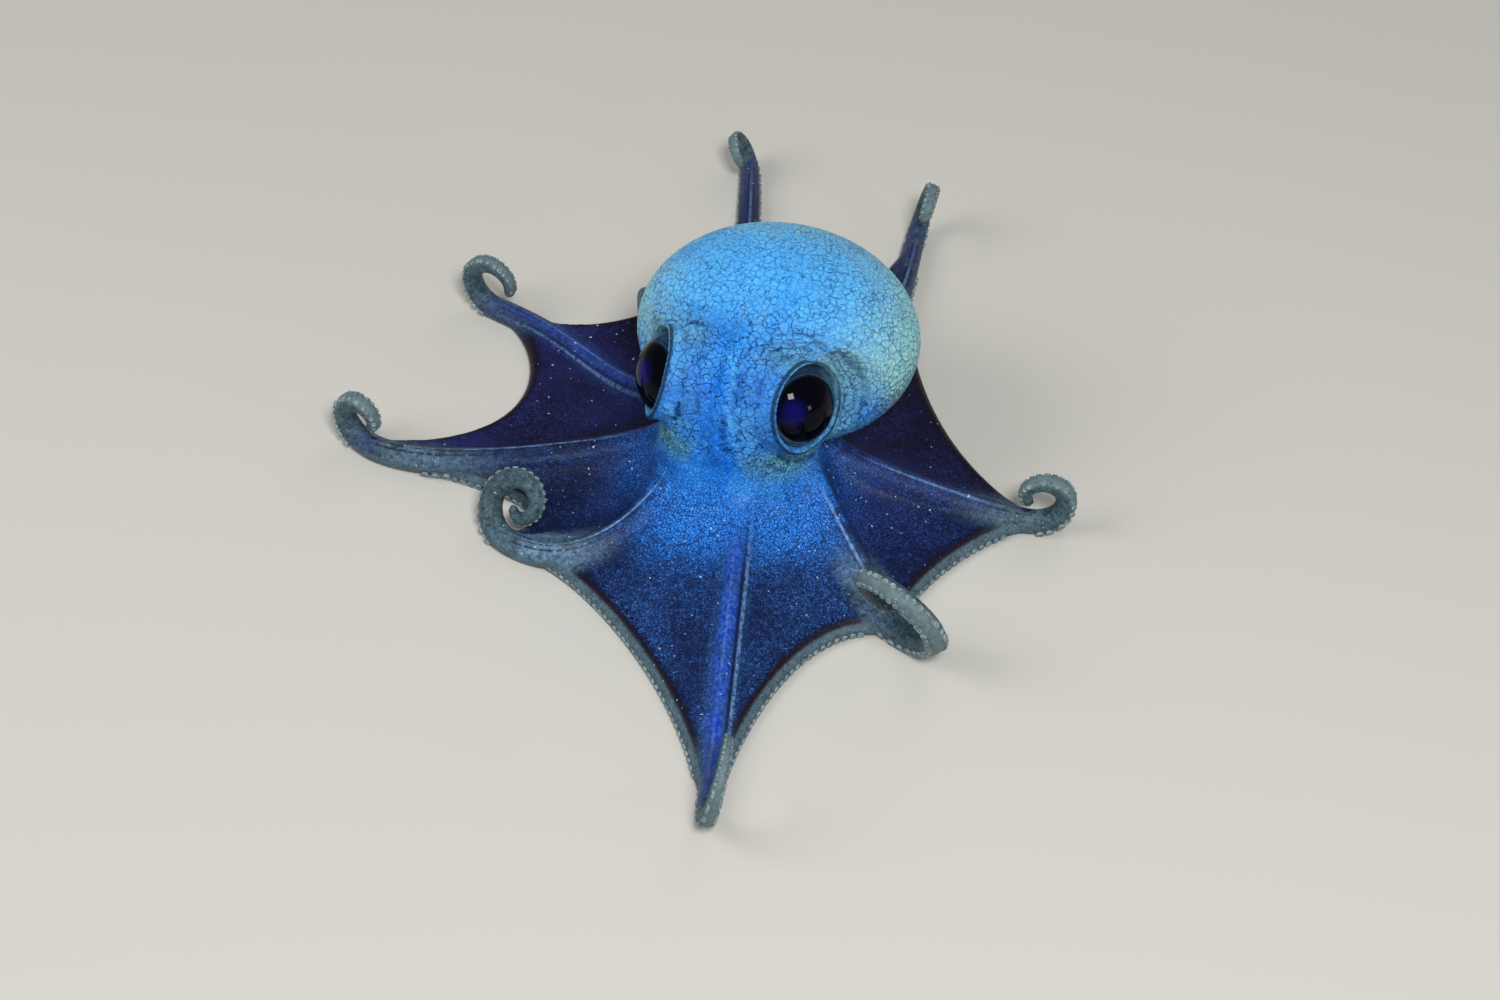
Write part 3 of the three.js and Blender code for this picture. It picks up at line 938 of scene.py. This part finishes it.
class Flow:
    # a socket in a material, which adds nodes when it is reckoned with
    def __init__(self, tree, socket):
        self.tree = tree
        self.socket = socket

    def make(self, kind, settings=None, values=None, output=0):
        node = self.tree.nodes.new(kind)
        for name, value in (settings or {}).items():
            setattr(node, name, value)
        for name, value in (values or {}).items():
            if isinstance(value, Flow):
                value.into(node, name)
            else:
                node.inputs[name].default_value = value
        return Flow(self.tree, node.outputs[output])

    def into(self, node, name):
        self.tree.links.new(self.socket, node.inputs[name])

    def reckon(self, operation, other, swap=False):
        first, second = (other, self) if swap else (self, other)
        kind = "ShaderNodeVectorMath" if self.socket.type == "VECTOR" else "ShaderNodeMath"
        return self.make(kind, {"operation": operation}, {0: first, 1: second})

    def __add__(self, other):
        return self.reckon("ADD", other)

    def __radd__(self, other):
        return self.reckon("ADD", other, swap=True)

    def __sub__(self, other):
        return self.reckon("SUBTRACT", other)

    def __rsub__(self, other):
        return self.reckon("SUBTRACT", other, swap=True)

    def __mul__(self, other):
        return self.reckon("MULTIPLY", other)

    def __rmul__(self, other):
        return self.reckon("MULTIPLY", other, swap=True)

    def __abs__(self):
        return self.make("ShaderNodeMath", {"operation": "ABSOLUTE"}, {0: self})

    def step(self, low, high):
        # 0 at low, 1 at high, smooth between
        settings = {"interpolation_type": "SMOOTHSTEP"}
        values = {0: self, 1: low, 2: high, 3: 0.0, 4: 1.0}
        return self.make("ShaderNodeMapRange", settings, values)

    def between(self, below, above):
        # the colour below where this is 0 and above where it is 1
        settings = {"data_type": "RGBA", "clamp_factor": True}
        return self.make("ShaderNodeMix", settings, {0: self, 6: below, 7: above}, 2)


def newMaterial(name):
    material = bpy.data.materials.new(name)
    material.use_nodes = True
    shader = material.node_tree.nodes["Principled BSDF"]
    place = Flow(material.node_tree, None).make("ShaderNodeTexCoord", output="Object")
    return material, shader, place


def measured(place, name):
    return place.make("ShaderNodeAttribute", {"attribute_name": name}, output=2)


def noise(place, scale, detail=3.0, output=0):
    values = {"Vector": place, "Scale": scale, "Detail": detail}
    return place.make("ShaderNodeTexNoise", {}, values, output)


def component(vector, axis):
    return vector.make("ShaderNodeSeparateXYZ", {}, {0: vector}, axis)


def cracks(place, size, thin, wide):
    # lines between cells of one size in metres
    values = {"Vector": place, "Scale": 1 / size}
    return place.make("ShaderNodeTexVoronoi", {"feature": "DISTANCE_TO_EDGE"}, values).step(wide, thin)


def chances(place, size):
    # one number between 0 and 1 for each cell
    return component(place.make("ShaderNodeTexVoronoi", {}, {"Vector": place, "Scale": 1 / size}, 1), 0)


def near(value, middle, width):
    # 1 at the middle and 0 a width away
    return (abs(value - middle)).step(width, width * 0.35)


skinLook = {
    "mantleTop": shade(84, 182, 255),
    "mantleSide": shade(158, 214, 208),
    "mantleLow": shade(104, 132, 112),
    # the dark of the net's lines, and the painted shade in the creases
    "netLineAndCreaseShade": shade(8, 52, 104),
    "mantleLine": shade(16, 72, 132),
    "headBlue": shade(10, 120, 242),
    # the pale head cells, and the painted highlight on raised folds
    "headPaleAndHighlight": shade(92, 190, 250),
    "lid": shade(108, 166, 178),
    "lidLine": shade(14, 40, 60),
    "cheek": shade(122, 192, 176),
    "neckBright": shade(48, 134, 232),
    "neckDark": shade(4, 38, 100),
    "webBright": shade(44, 88, 158),
    "webDark": shade(7, 19, 56),
    "sideBright": shade(46, 54, 126),
    # the dark grains of the side webs, darkened further as painted shade
    "sideDarkAndShade": shade(11, 8, 28),
    "rim": shade(22, 14, 26),
    "fleck": shade(184, 208, 234),
    "stripe": shade(18, 52, 172),
    "stripePale": shade(70, 122, 214),
    "band": shade(70, 124, 206),
    # pale shoulders, and the painted highlight along each crest
    "crestPaleAndHighlight": shade(124, 166, 208),
    "armDark": shade(26, 42, 54),
    "armPale": shade(92, 118, 128),
    "oral": shade(104, 124, 128),
    "strip": shade(90, 112, 124),
    "under": shade(92, 104, 112),
    "roughness": 0.44,
    "ior": 1.36,
    "specular": 0.3,
    "bumpStrength": 0.7,
    "bumpHeight": 0.00012,
}
# sizes of the skin's pattern: noise in waves to a metre, then cells and their unevenness in metres
skinGrain = {
    "broad": 60.0,
    "clouds": 95.0,
    "fleckPatches": 110.0,
    "patchy": 210.0,
    "creaseGaps": 420.0,
    "uneven": 900.0,
    "mottled": 1100.0,
    "fine": 1500.0,
    "fleckCell": 0.0013,
    "wideCell": 0.0012,
    "fineCell": 0.0006,
    "tinyCell": 0.00045,
    "shift": 0.0011,
}
# the creases that follow the lids, painted dark as shade: distance from the eye's axis, width
lidCreases = ((7.55, 0.26), (8.35, 0.24), (9.2, 0.28), (10.3, 0.26))


def skinPattern(place):
    # by name: what was measured on the mesh, the way it faces, and patterns of chance
    grain = skinGrain
    at = SimpleNamespace(place=place)
    for name in measures:
        setattr(at, name, measured(place, name))
    for name, unitLength in measureUnits.items():
        setattr(at, name, getattr(at, name) * unitLength)
    facing = place.make("ShaderNodeNewGeometry", output="Normal")
    at.sideways, at.backward, at.raised = (component(facing, axis) for axis in range(3))

    at.broad, at.patchy, at.fine = (noise(place, grain[name]) for name in ("broad", "patchy", "fine"))
    at.clouds = noise(place, grain["clouds"], 4.0).step(0.36, 0.62)
    at.mottle = noise(place, grain["mottled"]).step(0.38, 0.66)
    shift = noise(place, grain["uneven"], 2.0, 1)
    shift = shift.make("ShaderNodeVectorMath", {"operation": "SCALE"}, {0: shift, "Scale": grain["shift"]})
    at.wavy = place + shift
    # grooves between cells of three sizes, and a chance for each of the smallest
    at.upper, at.lower = at.high.step(12.5, 18.0), at.high.step(17.0, 12.5)
    at.wide = cracks(at.wavy, grain["wideCell"], 0.015, 0.08) * at.patchy.step(0.3, 0.5) * at.upper
    at.fineNet = cracks(at.wavy, grain["fineCell"], 0.02, 0.12) * (1 - at.patchy.step(0.38, 0.66) * 0.75)
    at.tiny = cracks(at.wavy, grain["tinyCell"], 0.03, 0.24)
    at.pepper = chances(at.wavy, grain["tinyCell"])

    # the top of each arm: where it has left the crown, its pale shoulder and its blue stripe
    at.started = at.along.step(0.03, 0.2)
    at.shoulder = at.front.step(0.4, 0.7) * (1 - at.stripe.step(0.2, 0.5))
    streak = near(at.across, -0.2, 1.8) * at.ridge * at.stripe.step(0.1, 1.0) * at.started
    at.streak = streak * (0.35 + 0.65 * at.patchy.step(0.35, 0.6)) * (0.7 + 0.3 * at.pepper)
    return at


def creaseShade(at):
    # painted shade in the creases that follow the lids, with gaps, and in the single folds
    wander = at.lid + (at.patchy - 0.5) * 2.2 + (at.fine - 0.5) * 0.5
    first, second, third, last = (near(wander, *crease) for crease in lidCreases)
    creaseShading = first * (0.35 + 0.65 * at.behind) + second * at.behind
    creaseShading = creaseShading + third * at.behind + last * at.behind * 0.8
    creaseShading = creaseShading * (0.2 + 0.8 * noise(at.place, skinGrain["creaseGaps"]).step(0.4, 0.6)) * 0.45
    return creaseShading + at.mark.step(0.05, 0.9) * (0.5 + 0.5 * at.fine.step(0.3, 0.6))


def painted(tone, *layers):
    # one colour after another laid over the tone, each as strongly as its share says
    for share, colour in layers:
        tone = share.between(tone, skinLook[colour])
    return tone


def bodyTones(at):
    # the head, with a greenish bag below each eye, painted shade in its creases and a painted highlight on
    # its raised folds, and the paler mantle
    bag = at.high.step(19.5, 14.5) * at.lid.step(14.0, 8.5)
    lines = at.wide * 0.62 + at.fineNet * (0.34 - 0.2 * at.lower) + at.tiny * at.lower * 0.6
    lines = lines + at.net * 0.32 * at.upper
    lines = lines + cracks(at.wavy, skinGrain["fineCell"], 0.04, 0.16) * bag * 0.5
    creaseShading = creaseShade(at)
    headTone = painted(
        skinLook["headBlue"],
        (at.cellTone * 0.25 + at.patchy.step(0.42, 0.72) * 0.35, "headPaleAndHighlight"),
        (at.lid.step(11.0, 7.5) * 0.75 * (0.35 + 0.65 * at.behind), "lid"),
        (at.high.step(28.0, 33.0) * 0.4, "mantleTop"),
        (bag * 0.85, "cheek"),
        (lines, "netLineAndCreaseShade"),
        # a painted highlight along each raised fold
        ((at.mark * -1.0).step(0.05, 0.7), "headPaleAndHighlight"),
        (creaseShading, "netLineAndCreaseShade"),
        (near(at.lid, 6.5, 0.26) * 0.9, "lidLine"),
    )
    mantleTone = painted(
        skinLook["mantleSide"],
        (at.raised.step(0.15, 0.85), "mantleTop"),
        (abs(at.sideways).step(0.3, 0.85) * 0.95, "mantleSide"),
        (at.backward.step(0.04, 0.48) * 0.8, "mantleSide"),
        (at.raised.step(0.25, -0.25), "mantleLow"),
        (at.cellTone * 0.3 * at.patchy.step(0.3, 0.7), "headPaleAndHighlight"),
        (at.broad.step(0.45, 0.65) * 0.25, "headBlue"),
        (lines * 0.8, "mantleLine"),
        (creaseShading, "netLineAndCreaseShade"),
    )
    return headTone, mantleTone


def webTones(at):
    # dark blue grains among bright ones, violet at the sides and darker there by painted shade, with thin
    # lines beside each arm
    nearNeck = (at.neck * at.front).step(0.1, 0.95)
    bright = painted(
        skinLook["sideBright"],
        (at.front.step(0.05, 0.9), "webBright"),
        (nearNeck, "neckBright"),
    )
    dark = painted(
        skinLook["sideDarkAndShade"],
        (at.front.step(0.1, 0.9), "webDark"),
        (nearNeck, "neckDark"),
    )
    light = 0.1 + at.pepper * 0.65 + at.fine.step(0.35, 0.65) * 0.1 + at.broad.step(0.35, 0.65) * 0.15
    light = light * (1 - nearNeck) + (0.72 + at.pepper * 0.28) * nearNeck
    light = light * (1 - at.tiny * 0.9) * (0.5 + at.out * at.front * 0.65 + nearNeck * 0.46)
    light = light * (0.7 + at.clouds * 0.5) - at.edge.step(1.6, 0.5) * 0.2
    band = at.ridge * near(at.across, 0.0, 3.6) * at.started
    band = band * (0.04 + 0.4 * at.stripe + 0.12 * at.shoulder)
    tone = painted(
        light.between(dark, bright),
        ((1 - at.clouds) * (1 - nearNeck) * 0.35, "sideDarkAndShade"),
        (at.broad.step(0.4, 0.7) * (1 - at.front) * 0.3, "sideBright"),
        (at.edge.step(0.95, 0.45) * 0.9, "rim"),
        (band * (0.4 + 0.6 * at.pepper) * (1 - at.tiny * 0.6), "band"),
    )
    stripeTone = painted(skinLook["stripe"], (at.fine.step(0.4, 0.62) * 0.6, "stripePale"))
    groove = at.ridge * near(at.across, 1.25, 0.34) * (0.25 + 0.55 * at.stripe) * at.started
    outer = at.ridge * near(abs(at.across), 3.0, 0.3) * at.patchy.step(0.4, 0.6) * 0.5 * at.started
    # a painted highlight along the top of each crest
    crestHighlight = at.ridge * near(at.across, -0.3, 0.3) * (1 - 0.85 * at.stripe) * (0.4 + 0.6 * at.front)
    # a pale line beside the stripe, painted as a highlight
    pale = near(at.across, 1.75, 0.34) * at.ridge * at.stripe * at.started * at.fine.step(0.3, 0.6)
    return painted(
        at.streak.between(tone, stripeTone),
        (groove + outer, "webDark"),
        (crestHighlight * at.started * (0.4 + 0.6 * at.fine.step(0.35, 0.6)), "crestPaleAndHighlight"),
        (pale * 0.6, "crestPaleAndHighlight"),
    )


def armTones(at):
    # slate, mottled with paler spots, and pale beneath
    threads = near(abs(at.across), 0.75, 0.2) + near(at.across, 0.1, 0.16)
    return painted(
        skinLook["armDark"],
        (0.2 + at.mottle * 0.3 + at.pepper * 0.35 - at.tiny * 0.2, "armPale"),
        (at.streak * at.along.step(0.6, 0.42) * 0.6, "stripe"),
        (at.shoulder * at.along.step(0.56, 0.42) * (0.1 + at.pepper * 0.4), "crestPaleAndHighlight"),
        (at.front.step(0.3, 0.05) * at.along.step(0.64, 0.48) * 0.55, "sideBright"),
        (threads * at.ridge * at.along.step(0.52, 0.46) * at.fine.step(0.3, 0.55) * 0.75, "rim"),
        (at.oral * (0.65 + 0.35 * at.mottle), "oral"),
    )


def fleckShare(at):
    # small pale dots of uneven size, in patches
    size = chances(at.place, skinGrain["fleckCell"])
    values = {"Vector": at.wavy, "Scale": 1 / skinGrain["fleckCell"]}
    dots = at.place.make("ShaderNodeTexVoronoi", {}, values).step(size * 0.13 + 0.02, size * 0.08)
    return dots * size.step(0.25, 0.7) * noise(at.place, skinGrain["fleckPatches"]).step(0.34, 0.5) * 0.85


def skinMaterial():
    look = skinLook
    material, shader, place = newMaterial("octopusSkin")
    at = skinPattern(place)
    headTone, mantleTone = bodyTones(at)
    plain = (1 - at.stripe.step(0.0, 0.6)) * at.front.step(0.08, 0.3)
    tone = (at.armNear * (at.along + plain * 0.14).step(0.36, 0.54)).between(webTones(at), armTones(at))
    tone = painted(tone, (fleckShare(at), "fleck"))
    tone = at.strip.between(tone, painted(look["strip"], (at.mottle * 0.3 + at.tiny * 0.4, "armDark")))
    tone = painted(tone, (at.under * (1 - at.strip), "under"))
    tone = (at.funnel * 0.9).between(tone, painted(look["armPale"], (at.mottle * 0.5, "armDark")))
    tone = (at.head.step(0.1, 0.75) * (at.high + at.patchy * 4.0).step(9.5, 15.5)).between(tone, headTone)
    at.mantle.between(tone, mantleTone).into(shader, "Base Color")

    onHead = at.head.step(0.2, 0.8)
    height = (at.wide * -0.8 - at.fineNet * 0.5) * onHead
    height = height + (at.pepper * 0.25 - at.tiny * 0.3) * (1 - onHead) + at.fine * 0.3
    values = {"Height": height, "Strength": look["bumpStrength"], "Distance": look["bumpHeight"]}
    place.make("ShaderNodeBump", {}, values).into(shader, "Normal")
    shader.inputs["Roughness"].default_value = look["roughness"]
    shader.inputs["IOR"].default_value = look["ior"]
    shader.inputs["Specular IOR Level"].default_value = look["specular"]
    return material


skin.data.materials.append(skinMaterial())
print("skin coloured")

suckerShape = {
    # degrees from straight beneath, along the run and in the curl
    "spread": (58, 44),
    # radius as a share of the arm's, and how far out it stands, along the run and in the curl
    "size": (0.36, 0.31),
    "stand": (1.0, 0.92),
    # distance to the next sucker as a share of the radius
    "pitch": 1.05,
    "sides": 10,
    # the first sucker's step along the arm, and from where to where the curl's values take over
    "firstStep": 8,
    "curl": (1.0, 1.35),
    # suckers left out at each end of a web's margin, and how much those of the margin are turned down
    "marginEnds": 4,
    "marginDrop": 0.2,
    "dark": shade(80, 100, 108),
    "pale": shade(136, 156, 162),
    "grain": 1200.0,
    "roughness": 0.4,
    # the cup's own section: distance from its axis and height, as shares of its radius
    "section": [(0.75, -0.6), (0.85, 0.0), (1.0, 0.35), (0.9, 0.55), (0.62, 0.5), (0.4, 0.2), (0.15, 0.12)],
}


def suckerPart(place, outward, tangent, radius):
    side = np.cross(outward, tangent)
    angles = around(suckerShape["sides"])
    ring = np.cos(angles)[:, None] * tangent + np.sin(angles)[:, None] * side
    rings = [list(place + radius * (r * ring + h * outward)) for r, h in suckerShape["section"]]
    return loft(rings)


def armSuckers(arm):
    # two rows under the arm, each sucker sized by the arm's thickness there
    shape = suckerShape
    lengths = arm["lengths"]
    reach, row = lengths[shape["firstStep"]], 0
    while reach < lengths[-1] - 0.2:
        i = min(np.searchsorted(lengths, reach), len(lengths) - 1)
        along, tangent = arm["along"][i], arm["tangents"][i]
        inCurl = smoothstep(*shape["curl"], along)
        ends = [shape[name] for name in ("size", "stand", "spread")]
        size, stand, spread = (a + (b - a) * inCurl for a, b in ends)
        radius = arm["radii"][i] * size
        turn = math.radians(spread * (1 if row % 2 else -1))
        outward = unit(turned(-arm["backs"][i], tangent, turn))
        place = arm["points"][i] + outward * arm["radii"][i] * stand
        if place[2] > radius * 0.9:
            yield place, outward, tangent, radius, along
        reach += radius * shape["pitch"]
        row += 1


def marginSuckers(rows, share):
    line, tangents, outward = rimLine(rows, rimShape["pitch"])
    radius = rimShape["bead"] * (0.75 + 0.25 * share)
    for i in range(suckerShape["marginEnds"], len(line) - suckerShape["marginEnds"]):
        aim = unit(outward[i] - up * suckerShape["marginDrop"])
        place = line[i] + outward[i] * marginShape["outward"] * share + aim * marginShape["radius"]
        place[2] = marginShape["beads"]
        yield suckerPart(place, aim, tangents[i], radius)


def buildSuckers():
    places = [sucker for arm in arms for sucker in armSuckers(arm)]
    closest = nearest(np.array([sucker[0] for sucker in places]), points)[0]
    # those that would come through the web above them are left out
    through = (readVertices(skin.data, "normal")[closest, 2] > 0) & (np.array([s[4] for s in places]) < 1)
    parts = [suckerPart(*sucker[:4]) for sucker, isThrough in zip(places, through) if not isThrough]
    for rows, share in zip(sheets, margins):
        if share > 0.5:
            parts += marginSuckers(rows, share)
    corners, faces = joined(parts)
    piece = makeMesh("suckers", (np.array(corners) + mouth) * mm, faces)
    piece.data.shade_smooth()
    return piece


def suckerMaterial():
    look = suckerShape
    material, shader, place = newMaterial("suckerSkin")
    grain = noise(place, look["grain"], 2.0)
    grain.step(0.3, 0.7).between(look["dark"], look["pale"]).into(shader, "Base Color")
    shader.inputs["Roughness"].default_value = look["roughness"]
    return material


suckers = buildSuckers()
suckers.data.materials.append(suckerMaterial())
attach(suckers, "root")
print("suckers made:", len(suckers.data.polygons), "faces")

eyeLook = {
    # how far ahead of the ball's own axis and above it each ring and the painted glint lie, in the left eye
    # and in the right one
    "aims": {
        "fromLens": ((0.25, 0.15), (0.5, 0.18)),
        "fromGlint": ((0.75, 0.4), (0.35, 0.2)),
        "fromLid": ((0, 0), (0, 0)),
    },
    "lens": shade(2, 3, 9),
    # a painted blue glint in the dark lens
    "lensGlint": shade(16, 16, 96),
    "ring": shade(44, 72, 92),
    "ringPale": shade(66, 98, 116),
    # the painted shade on the ring's upper part
    "ringShade": shade(14, 34, 64),
    "line": shade(8, 12, 22),
    "grain": 900.0,
    "roughness": 0.05,
    "ior": 1.3,
    "specular": 0.2,
}


def buildEye(name, side):
    middle, looks = eyePlace(side)
    sideways = unit(np.cross(looks, up))
    upward = np.cross(sideways, looks)
    rows, sides = eyeShape["rows"], eyeShape["sides"]
    rings = []
    for j in range(rows):
        polar = math.radians(eyeShape["cap"]) * (1 - j / (rows - 1)) + math.radians(0.5)
        ring = []
        for k in range(sides):
            angle = 2 * math.pi * k / sides
            out = math.sin(polar) * (math.cos(angle) * sideways + math.sin(angle) * upward)
            ring.append(middle + eyeShape["radius"] * (out + math.cos(polar) * looks))
        rings.append(ring)
    points, faces = loft(rings)
    piece = makeMesh(name, (np.array(points) + mouth) * mm, faces)
    relative = np.array(points) - middle
    for title, aims in eyeLook["aims"].items():
        ahead, above = aims[0 if side > 0 else 1]
        aim = unit(looks + forwardOf(looks) * ahead + upward * above)
        distance = np.linalg.norm(relative - (relative @ aim)[:, None] * aim, axis=1)
        writeMeasure(piece.data, title, distance)
    piece.data.shade_smooth()
    return piece


def eyeMaterial():
    look = eyeLook
    material, shader, place = newMaterial("eyeGloss")
    lens, lensGlint, lid = (measured(place, name) for name in look["aims"])
    ringTone = noise(place, look["grain"], 2.0).step(0.35, 0.65).between(look["ring"], look["ringPale"])
    raised = component(place.make("ShaderNodeNewGeometry", output="Normal"), 2)
    # the ring darker where it faces up, painted shade under the lid
    ringTone = (raised.step(0.5, 0.85) * 0.75).between(ringTone, look["ringShade"])
    # the painted blue glint, to one side of the lens's middle
    tone = (lensGlint.step(2.8, 0.4) * 0.75).between(look["lens"], look["lensGlint"])
    tone = lens.step(4.75, 4.95).between(tone, ringTone)
    tone = (near(lens, 5.3, 0.14) * 0.5).between(tone, look["line"])
    tone = (near(lens, 4.85, 0.16) * 0.8).between(tone, look["line"])
    lid.step(5.95, 6.12).between(tone, look["line"]).into(shader, "Base Color")
    shader.inputs["Roughness"].default_value = look["roughness"]
    shader.inputs["IOR"].default_value = look["ior"]
    shader.inputs["Specular IOR Level"].default_value = look["specular"]
    return material


gloss = eyeMaterial()
eyes = {}
for name, side in (("eye_left", 1), ("eye_right", -1)):
    eyes[name] = buildEye(name + "_ball", side)
    eyes[name].data.materials.append(gloss)
    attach(eyes[name], "root")
    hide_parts(name)
print("eyes set")

# one skin for all the nodes of flesh
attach(skin, "root")
fleshNodes = [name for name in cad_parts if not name.startswith("eye_")]
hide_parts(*fleshNodes)

sceneLook = {
    "floor": shade(196, 194, 187),
    "floorReach": 3,
    "floorRoughness": 0.8,
    "sky": 0.22,
    "azimuth": 20,
    "elevation": 45,
    "distance": 450,
    "aim": (2.2, -6.04, 0),
    "lens": 72,
    "sensor": 36,
}
# place, the point it is turned to, size, power, and whether it is mirrored in what is glossy
lights = {
    "key": ((0.22, -0.32, 0.5), (0, 0, 0.01), 0.14, 2.9, True),
    "fill": ((-0.4, -0.22, 0.4), (0, 0, 0.01), 0.35, 1.5, False),
    "back": ((0.1, 0.5, 0.5), (0, 0, 0.02), 0.4, 0.5, False),
    "catch": ((0.42, -0.12, 0.1), (0, 0, 0.02), 0.06, 0.12, True),
}


def layFloor():
    far = sceneLook["floorReach"]
    corners = [(-far, -far, 0), (far, -far, 0), (far, far, 0), (-far, far, 0)]
    piece = makeMesh("floor", corners, [(0, 1, 2, 3)])
    material = bpy.data.materials.new("paleFloor")
    material.use_nodes = True
    shader = material.node_tree.nodes["Principled BSDF"]
    shader.inputs["Base Color"].default_value = sceneLook["floor"]
    shader.inputs["Roughness"].default_value = sceneLook["floorRoughness"]
    piece.data.materials.append(material)
    piece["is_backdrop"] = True


def placeLight(name, place, aim, size, power, mirrored):
    lamp = bpy.data.lights.new(name, "AREA")
    lamp.size = size
    lamp.energy = power
    piece = bpy.data.objects.new(name, lamp)
    piece.location = place
    piece.rotation_euler = (Vector(aim) - Vector(place)).to_track_quat("-Z", "Y").to_euler()
    piece.visible_glossy = mirrored
    bpy.context.scene.collection.objects.link(piece)


def placeCamera():
    azimuth, elevation = math.radians(sceneLook["azimuth"]), math.radians(sceneLook["elevation"])
    level = math.cos(elevation)
    back = Vector((math.sin(azimuth) * level, -math.cos(azimuth) * level, math.sin(elevation)))
    aim = Vector((np.array(sceneLook["aim"]) + mouth) * mm)
    data = bpy.data.cameras.new("camera")
    data.sensor_width = sceneLook["sensor"]
    data.lens = sceneLook["lens"]
    data.clip_start = 0.01
    piece = bpy.data.objects.new("camera", data)
    piece.location = aim + back * sceneLook["distance"] * mm
    piece.rotation_euler = back.to_track_quat("Z", "Y").to_euler()
    bpy.context.scene.collection.objects.link(piece)
    bpy.context.scene.camera = piece


layFloor()
for name, values in lights.items():
    placeLight(name, *values)
placeCamera()
world = bpy.data.worlds.new("studio")
world.use_nodes = True
world.node_tree.nodes["Background"].inputs["Color"].default_value = (1, 1, 1, 1)
world.node_tree.nodes["Background"].inputs["Strength"].default_value = sceneLook["sky"]
bpy.context.scene.world = world
bpy.context.scene.view_settings.view_transform = "Standard"
print("stage set")

lists = [[[float(v) for v in corner] for corner in box] for box in (cadBox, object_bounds())]
